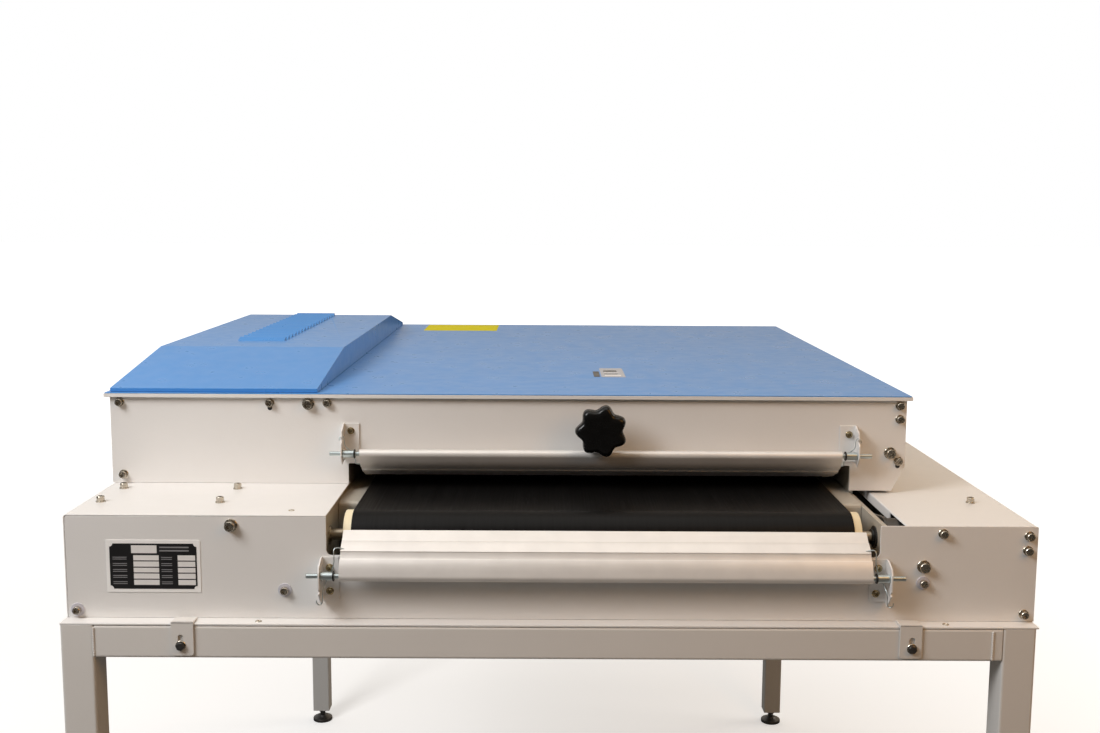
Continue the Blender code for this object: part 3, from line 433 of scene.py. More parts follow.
def wire_shape(shape, path, radius, sides=10):
    """Adds a round wire along a path in the row frame; the radius may depend on the place."""
    tangents = []
    for i in range(len(path)):
        tangents.append((path[min(i + 1, len(path) - 1)] - path[max(i - 1, 0)]).normalized())
    across = tangents[0].orthogonal().normalized()
    rings = []
    for i, (point, tangent) in enumerate(zip(path, tangents)):
        across = (across - tangent * across.dot(tangent)).normalized()
        other = tangent.cross(across)
        size = radius(i) if callable(radius) else radius
        rings.append([shape.verts.new(point + (across * math.cos(a) + other * math.sin(a)) * size)
                      for a in (2 * math.pi * k / sides for k in range(sides))])
    for a, b in zip(rings, rings[1:]):
        for i in range(sides):
            k = (i + 1) % sides
            shape.faces.new((a[i], b[i], b[k], a[k]))
    shape.faces.new(rings[0])
    shape.faces.new(rings[-1])


# ---------------------------------------------------------------- sheet metal and frames

SHEET_NODES = ("base_tray", "bed_plate", "infeed_panel", "left_cover", "left_side_plate",
               "outlet_panel", "right_cover", "right_side_plate", "top_frame", "top_panel",
               "upper_front_panel", "upper_left_wall", "upper_rear_panel", "upper_right_wall",
               "lower_scraper_bracket_left", "lower_scraper_bracket_right",
               "upper_scraper_bracket_left", "upper_scraper_bracket_right")
FRAME_NODES = [node for node in BODY_OF if node.startswith(("stand_leg", "stand_rail"))]
INNER_NODES = ("electrical_chassis", "gear_motor", "lower_heating_plate", "upper_heating_plate",
               "pressure_nut", "pressure_rocker", "roller_sprocket", "drive_chain")


def build_sheet_metal():
    for node in SHEET_NODES:
        refine(node, 0.00035)
    for node in FRAME_NODES:
        refine(node, 0.0004)
    refine("hood", 0.0006)
    for node in INNER_NODES:
        refine(node, 0.0003)
    refine("motor_sprocket", 0.0002)


def build_welds():
    """The beads where the outlet rail meets the legs, front and underneath."""
    tube = 0.040
    tray_lip = 0.021
    face = -tray_lip - 0.0002
    count = 60

    def bead(i):
        """The weld's radius, a little uneven along its length."""
        return 0.0013 + 0.00025 * math.sin(i * 1.9) * math.sin(i * 0.7)

    left_leg = machine_box("stand_leg_outlet_left")
    right_leg = machine_box("stand_leg_outlet_right")
    for word, x in (("left", left_leg[1].x), ("right", right_leg[0].x)):
        for part, start, end in (
                ("front", at(x, face, -0.003), at(x, face, -tube + 0.002)),
                ("under", at(x, -tray_lip + 0.003, -tube),
                 at(x, -tray_lip + tube - 0.003, -tube))):
            path = [start.lerp(end, i / count) for i in range(count + 1)]
            shape = bmesh.new()
            wire_shape(shape, path, bead)
            piece(f"weld_{part}_{word}", shape, STAND)


def build_clamp(name, centre, bolt_x, face, direction):
    """A bent strap over the tray's lip, with a slot and a hexagon bolt in the rail."""
    half, thick, corner = 0.0133, 0.002, 0.004
    low, high = centre - half, centre + half
    rise, drop = 0.0052, -0.036
    near, far = sorted((face, face + direction * thick))
    slot_hole = soft_rectangle(bolt_x - 0.0034, -0.0262, bolt_x + 0.0034, -0.0102, 0.0033)
    outline = (arc((low + corner, drop + corner), corner, 180, 270, 6)
               + arc((high - corner, drop + corner), corner, 270, 360, 6)
               + [(high, rise), (low, rise)])
    flat(name + "_strap", [outline, slot_hole], "XZ", near, far, STAND, bevel=0.0005)
    inward = face - direction * 0.0175
    y0, y1 = sorted((face + direction * thick, inward))
    flat(name + "_tab", [rectangle(low, y0, high, y1)], "XY", rise - thick, rise, STAND,
         bevel=0.0007)
    axis = "-Y" if direction < 0 else "Y"
    origin = at(bolt_x, face + direction * thick, -0.0235)
    turned(name + "_washer", [(0, 0.0014), (0.0058, 0.0014), (0.0062, 0.001), (0.0062, 0), (0, 0)],
           origin, axis, SCREW_STEEL)
    head = hexagon(0.0095)
    turned(name + "_bolt", [(0, 0.0046), (0.0040, 0.0046), (head, 0.0040), (head, 0.0013),
                            (0, 0.0013)], origin, axis, DARK_STEEL, segments=48, turn=0.3)


# ---------------------------------------------------------------- fasteners

# Washer radius, washer thickness, head radius, head height, socket across flats.
REGULAR = (0.0060, 0.0012, 0.0048, 0.0060, 0.0050)
BIG = (0.0080, 0.0016, 0.0062, 0.0078, 0.0060)
SMALL = (0.0047, 0.0009, 0.0036, 0.0030, 0.0030)
FASTENERS = {"count": 0}


def screw(spot, axis, kind, steel=None, washer=None, washer_scale=1.0):
    """A socket-head screw on its washer; the spot is on the panel, in machine coordinates."""
    ring, thick, head, height, socket = kind
    ring *= washer_scale
    FASTENERS["count"] += 1
    name = f"screw_{FASTENERS['count']:02d}"
    origin = at(*spot)
    turn = 0.7 * FASTENERS["count"]
    edge, socket_depth = 0.0003, 0.0026
    turned(name + "_washer", [(0, thick), (ring - edge, thick), (ring, thick - edge), (ring, 0),
                              (0, 0)], origin, axis, washer or SCREW_STEEL, segments=40)
    top, well = thick + height, thick + height - socket_depth
    rim = knurled(head, 0.00018, 24)
    inner = hexagon(socket)
    turned(name, [(0, well), (inner, well), (inner, top - 0.0001), (inner, top),
                  (head - 0.0006, top), (rim, top - 0.0006), (rim, thick + 0.0007),
                  (head - 0.0002, thick), (0, thick)], origin, axis, steel or SCREW_STEEL,
           segments=96, turn=turn)


def build_fasteners():
    upper = machine_box("upper_front_panel")[0].y
    rear = machine_box("upper_rear_panel")[1].y
    infeed = machine_box("infeed_panel")[1].y
    left_top, right_top = machine_box("left_cover")[1].z, machine_box("right_cover")[1].z
    left_wall, right_wall = machine_box("left_cover")[0].x, machine_box("right_cover")[1].x
    upper_wall = machine_box("upper_right_wall")[1].x

    for x, z in ((0.4066, 0.1113), (0.5100, 0.1088), (0.5090, 0.0909), (0.5080, 0.0120)):
        screw((x, 0.0, z), "-Y", REGULAR)
    for x, z in ((-0.4454, 0.1175), (0.3848, 0.0708)):
        screw((x, 0.0, z), "-Y", BIG)
    for x, z in ((-0.3826, 0.038), (-0.6325, 0.0125), (0.3852, 0.0502)):
        screw((x, 0.0, z), "-Y", REGULAR, washer=WHITE_PLASTIC, washer_scale=1.38)

    for x, z in ((-0.633, 0.2385), (-0.4349, 0.2385), (-0.3589, 0.2385), (-0.6312, 0.1415),
                 (0.3985, 0.2385), (0.3990, 0.2204), (0.3991, 0.1640)):
        screw((x, upper, z), "-Y", REGULAR)
    screw((-0.384, upper, 0.2372), "-Y", BIG)
    screw((0.3876, upper, 0.1749), "-Y", BIG)

    for x, y in ((-0.624, 0.065), (-0.620, 0.138), (-0.475, 0.064), (-0.472, 0.139)):
        screw((x, y, left_top), "Z", REGULAR)

    flange = 0.0021
    for x, z in ((-0.328, 0.0666), (-0.328, 0.0377), (0.330, 0.0687), (0.328, 0.0375)):
        screw((x, -flange, z), "-Y", SMALL, steel=YELLOW_ZINC, washer=YELLOW_ZINC)
    for x, z in ((-0.328, 0.2018), (0.332, 0.1998)):
        screw((x, upper - flange, z), "-Y", SMALL, steel=YELLOW_ZINC, washer=YELLOW_ZINC)

    for y in (0.060, 0.400, 0.750, 1.100, 1.440):
        screw((left_wall, y, 0.030), "-X", REGULAR)
        screw((right_wall, y, 0.030), "X", REGULAR)
    for y in (0.230, 0.650, 1.070):
        screw((left_wall, y, 0.165), "-X", REGULAR)
        screw((upper_wall, y, 0.190), "X", REGULAR)
    for x, y in ((0.480, 0.120), (0.480, 0.750), (0.480, 1.380)):
        screw((x, y, right_top), "Z", REGULAR)
    for x, z in ((-0.625, 0.016), (-0.410, 0.016), (0.410, 0.016), (0.500, 0.016),
                 (-0.625, 0.112), (-0.410, 0.112), (0.410, 0.100), (0.500, 0.100)):
        screw((x, infeed, z), "Y", REGULAR)
    for x, z in ((-0.636, 0.240), (-0.345, 0.240), (0.120, 0.240), (0.395, 0.240), (0.395, 0.175),
                 (-0.345, 0.165)):
        screw((x, rear, z), "Y", REGULAR)
    for x, z in ((-0.617, 0.150), (-0.363, 0.150), (-0.617, 0.230), (-0.363, 0.230)):
        screw((x, machine_box("control_panel")[1].y, z), "Y", SMALL)

    tray = machine_box("base_tray")[1].z
    for number, x in enumerate((-0.4127, 0.411)):
        for word, y in (("outlet", -0.011), ("infeed", infeed + 0.011)):
            turned(f"tray_screw_{word}_{number}",
                   [(0, 0.0002), (0.0012, 0.0002), (0.0016, 0.0009), (0.0035, 0.0008),
                    (0.0041, 0.0002), (0.0041, 0), (0, 0)], at(x, y, tray), "Z", SCREW_STEEL)


def build_slots():
    """Painted shade: black patches for the open ends of the adjusting slots beside three of the
    upper panel's screws.
    """
    upper = machine_box("upper_front_panel")[0].y
    # Thin black sheets on the panel's face, standing for the shade inside each slot.
    for number, (x, z) in enumerate(((-0.633, 0.2440), (-0.4349, 0.2318), (0.3985, 0.1578))):
        flat(f"slot_shade_{number}", [soft_rectangle(x - 0.0031, z - 0.0035, x + 0.0031, z + 0.0035,
                                                   0.003)],
             "XZ", upper - 0.00012, upper + 0.0005, WASHER_BLACK)
    left_top = machine_box("left_cover")[1].z
    turned("cover_rivet", [(0.0020, 0.0002), (0.0034, 0.0004), (0.0038, 0.0001), (0.0038, -0.0005),
                           (0.0020, -0.0005)], at(-0.378, 0.025, left_top), "Z", YELLOW_ZINC)


# ---------------------------------------------------------------- belts and rollers


def build_belt(name):
    low, high = machine_box(name)
    radius, thick = (high.z - low.z) / 2, 0.001
    z = (high.z + low.z) / 2
    first, second = low.y + radius, high.y - radius
    rings = [arc((first, z), r, 90, 270, 48) + arc((second, z), r, -90, 90, 48)
             for r in (radius, radius - thick)]
    shape = bmesh.new()
    rows = [[shape.verts.new(at(x, y, height)) for y, height in ring]
            for x, ring in ((low.x, rings[0]), (high.x, rings[0]), (high.x, rings[1]),
                            (low.x, rings[1]))]
    for a, b in zip(rows, rows[1:] + rows[:1]):
        for i in range(len(a)):
            k = (i + 1) % len(a)
            shape.faces.new((a[i], b[i], b[k], a[k]))
    piece(name + "_fine", shape, BELT, BODY_OF[name], (name,), SLOT_OF[name])


def build_roller(name, half, material, shaft=0.007):
    """A lagged roller: a cover with a recessed end, and the steel shaft through it."""
    low, high = machine_box(name)
    radius, y, z = (high.z - low.z) / 2, (high.y + low.y) / 2, (high.z + low.z) / 2
    edge, recess, rim = 0.0012, 0.002, radius - 0.008
    one_end = [(shaft + 0.0001, half - recess), (rim - 0.0005, half - recess),
               (rim, half - recess + 0.0004), (rim, half - 0.0004), (rim + 0.0004, half),
               (radius - edge, half),
               (radius - edge * 0.3, half - edge * 0.3), (radius, half - edge)]
    other_end = [(r, -along) for r, along in reversed(one_end)]
    origin = at(0, y, z)
    turned(name + "_cover", one_end + other_end, origin, "X", material, segments=96,
           body=BODY_OF[name], stands_for=(name,), slot=SLOT_OF[name])
    chamfer = 0.0008
    turned(name + "_shaft", [(0, high.x), (shaft - chamfer, high.x), (shaft, high.x - chamfer),
                             (shaft, low.x + chamfer), (shaft - chamfer, low.x), (0, low.x)],
           origin, "X", SHAFT_STEEL, body=BODY_OF[name], slot="bright_steel")


def build_bearings():
    """Bearing housings on the side plates' inner faces: black and flanged on the drive side."""
    rollers = ("lower_outlet_roller", "lower_infeed_roller", "upper_outlet_roller",
               "upper_infeed_roller")
    left = machine_box("left_side_plate")[1].x
    right = machine_box("right_side_plate")[0].x
    for name in rollers:
        low, high = machine_box(name)
        y, z = (high.y + low.y) / 2, (high.z + low.z) / 2
        for word, x, axis, reach, flange, material in (
                ("left", left, "X", 0.0026, 0.0104, SHAFT_STEEL),
                ("right", right, "-X", 0.0050, 0.0138, WASHER_BLACK)):
            turned(f"bearing_{name}_{word}",
                   [(0.0074, reach), (0.0092, reach), (0.0096, reach - 0.0004), (0.0098, 0.0022),
                    (flange - 0.0005, 0.0020), (flange, 0.0015), (flange, 0.0), (0.0074, 0.0)],
                   at(x, y, z), axis, material, segments=64)


# ---------------------------------------------------------------- scrapers

# The shaft's Y and Z, the section's lean in degrees, and 1 or -1 for blade up or down.
LOWER_SCRAPER = (-0.020, 0.0615, 53.4, 1)
UPPER_SCRAPER = (0.150, 0.1745, 39.4, -1)
# Each bracket ear's X, with the direction from it to the bar.
EARS = (("left", -0.338, 1), ("right", 0.341, -1))


def scraper_section():
    """The extrusion's section: s from the shaft to the blade's tip, t to its outer side."""
    face = [(0.0042, 0.0079), (0.0075, 0.0090), (0.0112, 0.0098), (0.0150, 0.0103),
            (0.0177, 0.0103), (0.0180, 0.0101), (0.0181, 0.0091), (0.0183, 0.0077),
            (0.0228, 0.0080), (0.0271, 0.0083), (0.0274, 0.0085), (0.0275, 0.0090),
            (0.0279, 0.0093), (0.0320, 0.0085), (0.0360, 0.0073), (0.0398, 0.0059),
            (0.0429, 0.0045), (0.0433, 0.0042), (0.0434, 0.0035), (0.0482, 0.0027),
            (0.0529, 0.0017), (0.0532, 0.0012), (0.0584, 0.0001), (0.0585, -0.0006)]
    back = [(0.0530, -0.0004), (0.0430, 0.0015), (0.0360, 0.0042), (0.0280, 0.0062),
            (0.0180, 0.0071), (0.0100, 0.0052)]
    return arc((0, 0), 0.006, 38, -250, 40) + face + back


def build_scraper(name, y, z, lean, mirror):
    low, high = machine_box(name)
    cos, sin = math.cos(math.radians(lean)), math.sin(math.radians(lean))
    outline = [(y + s * cos - t * sin, z + mirror * (s * sin + t * cos))
               for s, t in scraper_section()]
    left, right = -0.3135, 0.3185
    body = BODY_OF[name]
    flat(name + "_blade", [outline], "YZ", left, right, ALUMINIUM, body=body, stands_for=(name,),
         slot=SLOT_OF[name])
    radius, edge = 0.003, 0.0005
    turned(name + "_shaft", [(0, high.x), (radius - edge, high.x), (radius, high.x - edge),
                             (radius, low.x + edge), (radius - edge, low.x), (0, low.x)],
           at(0, y, z), "X", COLLAR_ZINC, body=body, slot="bright_steel")
    for word, ear, sign in EARS:
        axis = "X" if sign > 0 else "-X"
        inner = ear + sign * 0.0020
        turned(f"{name}_collar_{word}",
               [(0.0031, 0.0150), (0.0044, 0.0150), (0.0050, 0.0144), (0.0050, 0.0006),
                (0.0044, 0.0), (0.0031, 0.0)],
               at(inner, y, z), axis, COLLAR_ZINC, body=body, slot="bright_steel")
        turned(f"{name}_washer_{word}",
               [(0.0031, 0.0013), (0.0058, 0.0013), (0.0061, 0.0010), (0.0061, 0.0),
                (0.0031, 0.0)],
               at(inner + sign * 0.0151, y, z), axis, WASHER_BLACK, body=body)


def build_spring(name, ear, sign, shaft, leg, hook):
    """A torsion spring's wire: a leg on the bar, a run behind the collar, a hook on the ear."""
    y, z = shaft
    wire, behind = 0.0006, 0.0066
    in_bar, beside_bar = 0.0285, 0.0178
    points = [at(ear + sign * (in_bar if i == 0 else beside_bar), *spot)
              for i, spot in enumerate(leg)]
    step = math.copysign(0.004, leg[0][1] - z)
    points += [at(ear + sign * 0.0140, y + behind, z + step),
               at(ear + sign * 0.0095, y + behind, z - step)]
    points += [at(ear + sign * reach, *spot) for reach, spot in hook]
    shape = bmesh.new()
    wire_shape(shape, smooth_path(points, 4), wire)
    spring = piece(name, shape, COLLAR_ZINC, body=None)
    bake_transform(spring)


def build_springs():
    for word, ear, sign in EARS:
        y, z = LOWER_SCRAPER[:2]
        build_spring(f"lower_spring_{word}", ear, sign, (y, z),
                     [(y + 0.012, z + 0.030), (y + 0.008, z + 0.031), (y + 0.004, z + 0.016)],
                     [(0.0055, (y - 0.004, z - 0.018)), (0.0045, (y - 0.003, z - 0.030)),
                      (0.0020, (y - 0.004, z - 0.034)), (-0.0012, (y - 0.006, z - 0.032)),
                      (-0.0020, (y - 0.006, z - 0.028))])
        y, z = UPPER_SCRAPER[:2]
        build_spring(f"upper_spring_{word}", ear, sign, (y, z),
                     [(y + 0.012, z - 0.016), (y + 0.009, z - 0.015), (y + 0.005, z - 0.009)],
                     [(0.0055, (y - 0.001, z + 0.011)), (0.0045, (y - 0.0005, z + 0.020)),
                      (0.0020, (y - 0.001, z + 0.024)), (-0.0012, (y - 0.003, z + 0.022)),
                      (-0.0020, (y - 0.003, z + 0.018))])


# ---------------------------------------------------------------- knob


def build_knob():
    """The seven-lobed hand knob with its hub and the threaded stud behind it."""
    x, z, front = 0.002, 0.210, 0.118
    radius, dip, lobes, lean = 0.034, 0.0031, 7, math.radians(12)

    def lobed(scale):
        return lambda angle: scale * (radius - dip * (1 - math.cos(lobes * angle)))

    rim = [(0.62, 0.0006), (0.80, 0.0009), (0.885, 0.0016), (0.945, 0.0032), (0.985, 0.0058),
           (1.0, 0.0092), (1.0, 0.0165), (0.985, 0.0196), (0.945, 0.0222), (0.88, 0.0240)]
    stations = ([(0, 0.0004), (0.010, 0.0004)] + [(lobed(s), d) for s, d in rim]
                + [(0.0145, 0.0250), (0.0132, 0.0270), (0.0122, 0.0405), (0.0115, 0.0420),
                   (0, 0.0420)])
    turned("knob_grip", stations, at(x, front, z), "Y", BLACK, segments=168, turn=lean,
           body="pressure_knob", stands_for=("pressure_knob",), slot="black_plastic")
    thread = [(0, 0.041)]
    pitch = 0.00175
    for i in range(70):
        thread.append((0.0050 if i % 2 == 0 else 0.0059, 0.0415 + i * pitch / 2))
    thread += [(0.0059, 0.1640), (0.0048, 0.1655), (0, 0.1655)]
    turned("knob_stud", thread, at(x, front, z), "Y", STEEL, segments=40, body="pressure_knob",
           slot="bright_steel")


# ---------------------------------------------------------------- plates and labels


def scalloped(u0, v0, u1, v1, bite):
    """A rectangle whose corners are cut by quarter circles."""
    return (arc((u0, v0), bite, 90, 0, 8) + arc((u1, v0), bite, 180, 90, 8)
            + arc((u1, v1), bite, 270, 180, 8) + arc((u0, v1), bite, 360, 270, 8))


def build_rating_plate():
    """A blank machine plate: border, field, empty boxes and plain lines, with no lettering."""
    left, right, bottom, top = -0.596, -0.483, 0.0345, 0.099
    wide, tall = right - left, top - bottom
    flat("rating_plate", [soft_rectangle(left, bottom, right, top, 0.0012)], "XZ", -0.0006, 0.0,
         PLATE_SILVER, bevel=0.00015)
    inset, bite = 0.0043, 0.004
    field = scalloped(left + inset, bottom + inset, right - inset, top - inset, bite)
    flat("rating_field", [field], "XZ", -0.00075, -0.0004, PLATE_BLACK)

    def box(name, u0, u1, v0, v1, material=PLATE_WHITE):
        """Shares of the plate: across from the left, and down from the top."""
        outline = rectangle(left + wide * u0, top - tall * v1, left + wide * u1, top - tall * v0)
        flat(name, [outline], "XZ", -0.0009, -0.0006, material)

    box("rating_box_head", 0.27, 0.54, 0.10, 0.25)
    box("rating_line_head_1", 0.57, 0.88, 0.125, 0.15, PLATE_PRINT)
    box("rating_line_head_2", 0.57, 0.88, 0.19, 0.215, PLATE_PRINT)
    for row, (start, end) in enumerate(((0.29, 0.40), (0.41, 0.52), (0.53, 0.63), (0.64, 0.75),
                                        (0.76, 0.87))):
        box(f"rating_box_left_{row}", 0.29, 0.56, start, end - 0.012)
        box(f"rating_box_right_{row}", 0.76, 0.945, start, end - 0.012)
        middle = (start + end) / 2
        for line in (-0.022, 0.014):
            box(f"rating_line_left_{row}_{'a' if line < 0 else 'b'}", 0.07, 0.22, middle + line,
                middle + line + 0.012, PLATE_PRINT)
            box(f"rating_line_right_{row}_{'a' if line < 0 else 'b'}", 0.585, 0.70, middle + line,
                middle + line + 0.012, PLATE_PRINT)


def build_labels():
    lid = machine_box("top_panel")[1].z
    for name, outline, material in (
            ("lid_label_yellow", soft_rectangle(-0.316, 1.006, -0.170, 1.124, 0.003),
             LABEL_YELLOW),
            ("lid_label_black", rectangle(0.000, 0.340, 0.009, 0.399), PLATE_BLACK),
            ("lid_label_grey", soft_rectangle(0.011, 0.337, 0.046, 0.436, 0.002), LABEL_GREY)):
        flat(name, [outline], "XY", lid, lid + 0.0002, material)
    for i, (start, end) in enumerate(((0.350, 0.360), (0.368, 0.374), (0.382, 0.385),
                                      (0.395, 0.410))):
        flat(f"lid_label_line_{i}", [rectangle(0.016, start, 0.040 - 0.004 * (i % 2), end)], "XY",
             lid + 0.0002, lid + 0.0003, PLATE_BLACK if i % 2 else PLATE_WHITE)


# ---------------------------------------------------------------- infeed end


def build_buttons():
    face = machine_box("control_panel")[1].y
    for name, x, z, material in (("start_button", -0.405, 0.210, GREEN),
                                 ("stop_button", -0.405, 0.170, RED)):
        turned(name + "_bezel", [(0.0118, 0.0), (0.0142, 0.0), (0.0142, 0.0022), (0.0134, 0.0032),
                                 (0.0122, 0.0030), (0.0118, 0.0022)],
               at(x, face, z), "Y", STEEL, segments=64)
        turned(name + "_cap", [(0, 0.0104), (0.0060, 0.0106), (0.0088, 0.0110), (0.0104, 0.0107),
                               (0.0110, 0.0098), (0.0110, 0.0045), (0.0104, 0.0041),
                               (0.005, 0.0041), (0.005, -0.0118), (0, -0.0118)],
               at(x, face, z), "Y", material, segments=64, body=name, stands_for=(name,),
               slot=SLOT_OF[name])

    x, z = -0.460, 0.190
    turned("dial_scale", [(0.0165, 0.0), (0.0245, 0.0), (0.0245, 0.0004), (0.0165, 0.0004)],
           at(x, face, z), "Y", PLATE_BLACK, segments=64)
    for i in range(11):
        angle = math.radians(240 - 30 * i)
        shape = bmesh.new()
        wire_shape(shape, [at(x - r * math.cos(angle), face + 0.0005, z + r * math.sin(angle))
                           for r in (0.0185, 0.0230)], 0.0004, sides=6)
        piece(f"dial_tick_{i}", shape, PLATE_WHITE)
    turned("speed_dial_knob", [(0, 0.0180), (0.0098, 0.0180), (0.0108, 0.0174),
                               (knurled(0.0121, 0.0006, 24), 0.0160),
                               (knurled(0.0129, 0.0006, 24), 0.0040), (0.0158, 0.0024),
                               (0.0158, 0.0006), (0, 0.0006)],
           at(x, face, z), "Y", BLACK, segments=96, body="speed_dial", stands_for=("speed_dial",),
           slot="black_plastic")
    flat("speed_dial_pointer", [rectangle(x - 0.0009, z + 0.002, x + 0.0009, z + 0.0105)], "XZ",
         face + 0.0178, face + 0.0186, PLATE_WHITE, body="speed_dial")

    for i, x0 in enumerate((-0.612, -0.552)):
        flat(f"display_frame_{i}", [soft_rectangle(x0, 0.158, x0 + 0.050, 0.226, 0.003)], "XZ",
             face, face + 0.005, WASHER_BLACK, bevel=0.0007)
        flat(f"display_window_{i}", [soft_rectangle(x0 + 0.006, 0.192, x0 + 0.044, 0.216, 0.0015)],
             "XZ", face + 0.0046, face + 0.0054, PLATE_BLACK, bevel=0.0002)
        for k in range(3):
            turned(f"display_key_{i}_{k}", [(0, 0.0068), (0.0028, 0.0066), (0.0034, 0.0060),
                                            (0.0034, 0.0048), (0, 0.0048)],
                   at(x0 + 0.012 + 0.013 * k, face, 0.174), "Y", DEVICE, segments=32)


def build_infeed_controls():
    face = machine_box("infeed_panel")[1].y
    x, z = -0.480, 0.070
    turned("emergency_base", [(0.0072, 0.0), (0.0240, 0.0), (0.0240, 0.0014), (0.0232, 0.0020),
                              (0.0072, 0.0020)], at(x, face, z), "Y", YELLOW_PLASTIC, segments=72)
    turned("emergency_mushroom", [(0, 0.0220), (0.0080, 0.0218), (0.0135, 0.0208),
                                  (0.0168, 0.0188), (0.0179, 0.0160), (0.0176, 0.0110),
                                  (0.0168, 0.0080), (0.0100, 0.0074), (0.0062, 0.0072),
                                  (0.0058, -0.0118), (0, -0.0118)],
           at(x, face, z), "Y", RED, segments=72, body="emergency_stop",
           stands_for=("emergency_stop",), slot="red_plastic")
    x, z = -0.560, 0.070
    turned("switch_plate", [(0, 0.0119), (0.0185, 0.0119), (0.0198, 0.0108), (0.0200, 0.0100),
                            (0.0200, 0.0004), (0, 0.0004)],
           at(x, face, z), "Y", BLACK, segments=72, body="power_switch",
           stands_for=("power_switch",), slot="black_plastic")
    flat("switch_grip", [soft_rectangle(x - 0.005, z - 0.018, x + 0.005, z + 0.018, 0.004)], "XZ",
         face + 0.011, face + 0.0278, RED, body="power_switch", bevel=0.0015, segments=3)
    x, z = -0.600, 0.028
    turned("gland_fine", [(0.0041, 0.0218), (0.0072, 0.0218), (0.0094, 0.0204), (0.0104, 0.0180),
                          (knurled(0.0108, 0.0006, 16), 0.0160),
                          (knurled(0.0110, 0.0006, 16), 0.0085),
                          (0.0100, 0.0072), (hexagon(0.0200), 0.0066), (hexagon(0.0200), 0.0005),
                          (0.0041, 0.0005)],
           at(x, face, z), "Y", BLACK, segments=96, stands_for=("cable_gland",),
           slot="black_plastic")


def build_feet():
    for node in [name for name in BODY_OF if name.startswith("levelling_foot")]:
        low, high = machine_box(node)
        middle = at((low.x + high.x) / 2, (low.y + high.y) / 2, low.z)
        nut = hexagon(0.0165)
        stations = [(0, 0.0548), (0.0052, 0.0548)]
        stations += [(0.0052 if i % 2 else 0.0060, 0.0540 - i * 0.000875) for i in range(28)]
        stations += [(0.0060, 0.0296), (nut, 0.0292), (nut, 0.0222), (0.0060, 0.0218),
                     (0.0060, 0.0145), (0.0110, 0.0138), (0.0140, 0.0105), (0.0205, 0.0085),
                     (0.0229, 0.0072), (0.0235, 0.0058), (0.0235, 0.0008), (0.0228, 0.0), (0, 0.0)]
        turned(node + "_fine", stations, middle, "Z", DARK_STEEL, segments=72, stands_for=(node,),
               slot="dark_steel")


# ---------------------------------------------------------------- stage, light and camera


def build_floor():
    """A plain pale floor: nearly white to the eye, and dimmer as a source of bounced light."""
    shape = bmesh.new()
    bmesh.ops.create_grid(shape, x_segments=1, y_segments=1, size=40.0)
    mesh = bpy.data.meshes.new("studio_floor")
    shape.to_mesh(mesh)
    shape.free()
    finish = Finish("studio_floor", (0.90, 0.90, 0.90), 0.9)
    tree, shader = finish.tree, finish.shader
    distance = tree.nodes.new("ShaderNodeVectorMath")
    distance.operation = "LENGTH"
    tree.links.new(finish.place, distance.inputs[0])
    tree.links.new(finish.spread(distance.outputs["Value"], 0.42, 1.0, 1.0, 5.5),
                   shader.inputs["Emission Strength"])
    shader.inputs["Emission Color"].default_value = (1.0, 1.0, 1.0, 1.0)
    dim = tree.nodes.new("ShaderNodeBsdfDiffuse")
    dim.inputs["Color"].default_value = (0.18, 0.178, 0.175, 1.0)
    rays, mixer = tree.nodes.new("ShaderNodeLightPath"), tree.nodes.new("ShaderNodeMixShader")
    tree.links.new(rays.outputs["Is Camera Ray"], mixer.inputs[0])
    tree.links.new(dim.outputs[0], mixer.inputs[1])
    tree.links.new(shader.outputs[0], mixer.inputs[2])
    tree.links.new(mixer.outputs[0], tree.nodes["Material Output"].inputs["Surface"])
    mesh.materials.append(finish.material)
    floor = bpy.data.objects.new("studio_floor", mesh)
    bpy.context.scene.collection.objects.link(floor)


def build_world():
    """White to the eye; as light it is low in front, brighter behind, and warmer to the right."""
    world = bpy.data.worlds.new("studio")
    bpy.context.scene.world = world
    world.use_nodes = True
    tree = world.node_tree
    tree.nodes.clear()

    def make(kind):
        return tree.nodes.new(kind)

    def ranged(value, start, end, low, high):
        node = make("ShaderNodeMapRange")
        for key, number in (("From Min", start), ("From Max", end), ("To Min", low),
                            ("To Max", high)):
            node.inputs[key].default_value = number
        tree.links.new(value, node.inputs["Value"])
        return node.outputs["Result"]

    split = make("ShaderNodeSeparateXYZ")
    tree.links.new(make("ShaderNodeTexCoord").outputs["Generated"], split.inputs[0])
    tint = make("ShaderNodeMix")
    tint.data_type = "RGBA"
    tint.inputs[6].default_value = (0.96, 0.985, 1.0, 1.0)
    tint.inputs[7].default_value = (1.0, 0.76, 0.50, 1.0)
    tree.links.new(ranged(split.outputs["X"], -0.8, 0.8, 0.0, 1.0), tint.inputs[0])
    lit, seen = make("ShaderNodeBackground"), make("ShaderNodeBackground")
    tree.links.new(tint.outputs[2], lit.inputs["Color"])
    tree.links.new(ranged(split.outputs["Y"], -0.3, 0.8, 0.125, 0.64), lit.inputs["Strength"])
    seen.inputs["Color"].default_value = (1.0, 1.0, 1.0, 1.0)
    rays, mixer = make("ShaderNodeLightPath"), make("ShaderNodeMixShader")
    output = make("ShaderNodeOutputWorld")
    tree.links.new(rays.outputs["Is Camera Ray"], mixer.inputs["Fac"])
    tree.links.new(lit.outputs[0], mixer.inputs[1])
    tree.links.new(seen.outputs[0], mixer.inputs[2])
    tree.links.new(mixer.outputs[0], output.inputs["Surface"])


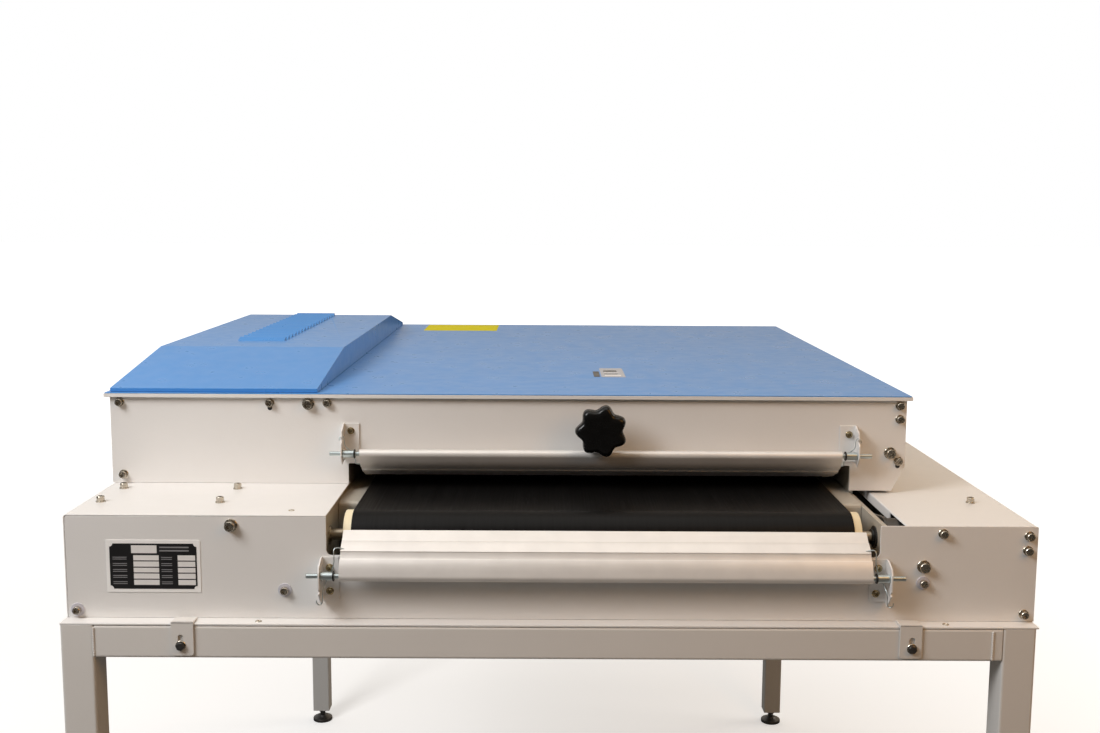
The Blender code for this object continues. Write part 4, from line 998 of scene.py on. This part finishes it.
# Name, place, the point it faces, side, power in watts, colour.
LIGHTS = (
    ("key_left", (-1.7, -1.8, 2.5), (-0.5, -0.6, 0.9), 1.1, 46.0, (1.0, 0.995, 1.0)),
    ("overhead", (-0.1, -1.0, 3.2), (0.0, -0.2, 0.9), 2.4, 20.0, (1.0, 0.97, 0.92)),
    ("warm_right", (1.3, -1.7, 1.9), (0.5, -0.7, 0.9), 1.0, 7.5, (1.0, 0.50, 0.14)),
    ("side_right", (2.8, 1.0, 2.1), (0.5, 0.3, 0.8), 1.5, 17.0, (1.0, 0.95, 0.89)),
)


def build_lights():
    for name, spot, target, side, power, colour in LIGHTS:
        data = bpy.data.lights.new(name, "AREA")
        data.shape = "RECTANGLE"
        data.size = data.size_y = side
        data.energy = power
        data.color = colour
        light = bpy.data.objects.new(name, data)
        light.location = spot
        light.rotation_euler = (Vector(target) - Vector(spot)).to_track_quat("-Z", "Y").to_euler()
        bpy.context.scene.collection.objects.link(light)


def build_camera():
    """The photo's view, as fitted to points on the machine's edges and screws; no shift."""
    lens, place = 39.816, at(-0.06842, -1.41764, 0.49437)
    pitch, yaw, roll = 0.12887, -0.00228, 0.00543
    data = bpy.data.cameras.new("camera")
    data.lens = lens
    data.sensor_width = 36.0
    data.clip_end = 100.0
    camera = bpy.data.objects.new("camera", data)
    forward = Vector((-math.sin(yaw) * math.cos(pitch), math.cos(yaw) * math.cos(pitch),
                      -math.sin(pitch)))
    level = Vector((math.cos(yaw), math.sin(yaw), 0.0))
    upright = Vector((-math.sin(yaw) * math.sin(pitch), math.cos(yaw) * math.sin(pitch),
                      math.cos(pitch)))
    right = level * math.cos(roll) + upright * math.sin(roll)
    up = upright * math.cos(roll) - level * math.sin(roll)
    turn = Matrix((right, up, -forward)).transposed()
    camera.matrix_world = Matrix.Translation(place) @ turn.to_4x4()
    bpy.context.scene.collection.objects.link(camera)
    bpy.context.scene.camera = camera
    bpy.context.scene.view_settings.view_transform = "Standard"


build_camera()
build_sheet_metal()
build_welds()
for clamp, middle, bolt in (("clamp_left", -0.501, -0.503), ("clamp_right", 0.3665, 0.368)):
    build_clamp(clamp + "_outlet", middle, bolt, -0.0215, -1)
    build_clamp(clamp + "_infeed", middle, bolt, machine_box("base_tray")[1].y + 0.0005, 1)
build_fasteners()
build_slots()
build_belt("lower_belt")
build_belt("upper_belt")
for roller_name in ("lower_outlet_roller", "lower_infeed_roller", "upper_outlet_roller",
                    "upper_infeed_roller"):
    build_roller(roller_name, 0.315, LAGGING)
for roller_name in ("lower_press_roller", "upper_press_roller"):
    build_roller(roller_name, 0.308, SILICONE)
build_bearings()
build_scraper("lower_scraper_bar", *LOWER_SCRAPER)
build_scraper("upper_scraper_bar", *UPPER_SCRAPER)
build_springs()
build_knob()
build_rating_plate()
build_labels()
refine("control_panel", 0.0003, PLATE_ALUMINIUM)
build_buttons()
build_infeed_controls()
build_feet()
build_floor()
build_world()
build_lights()
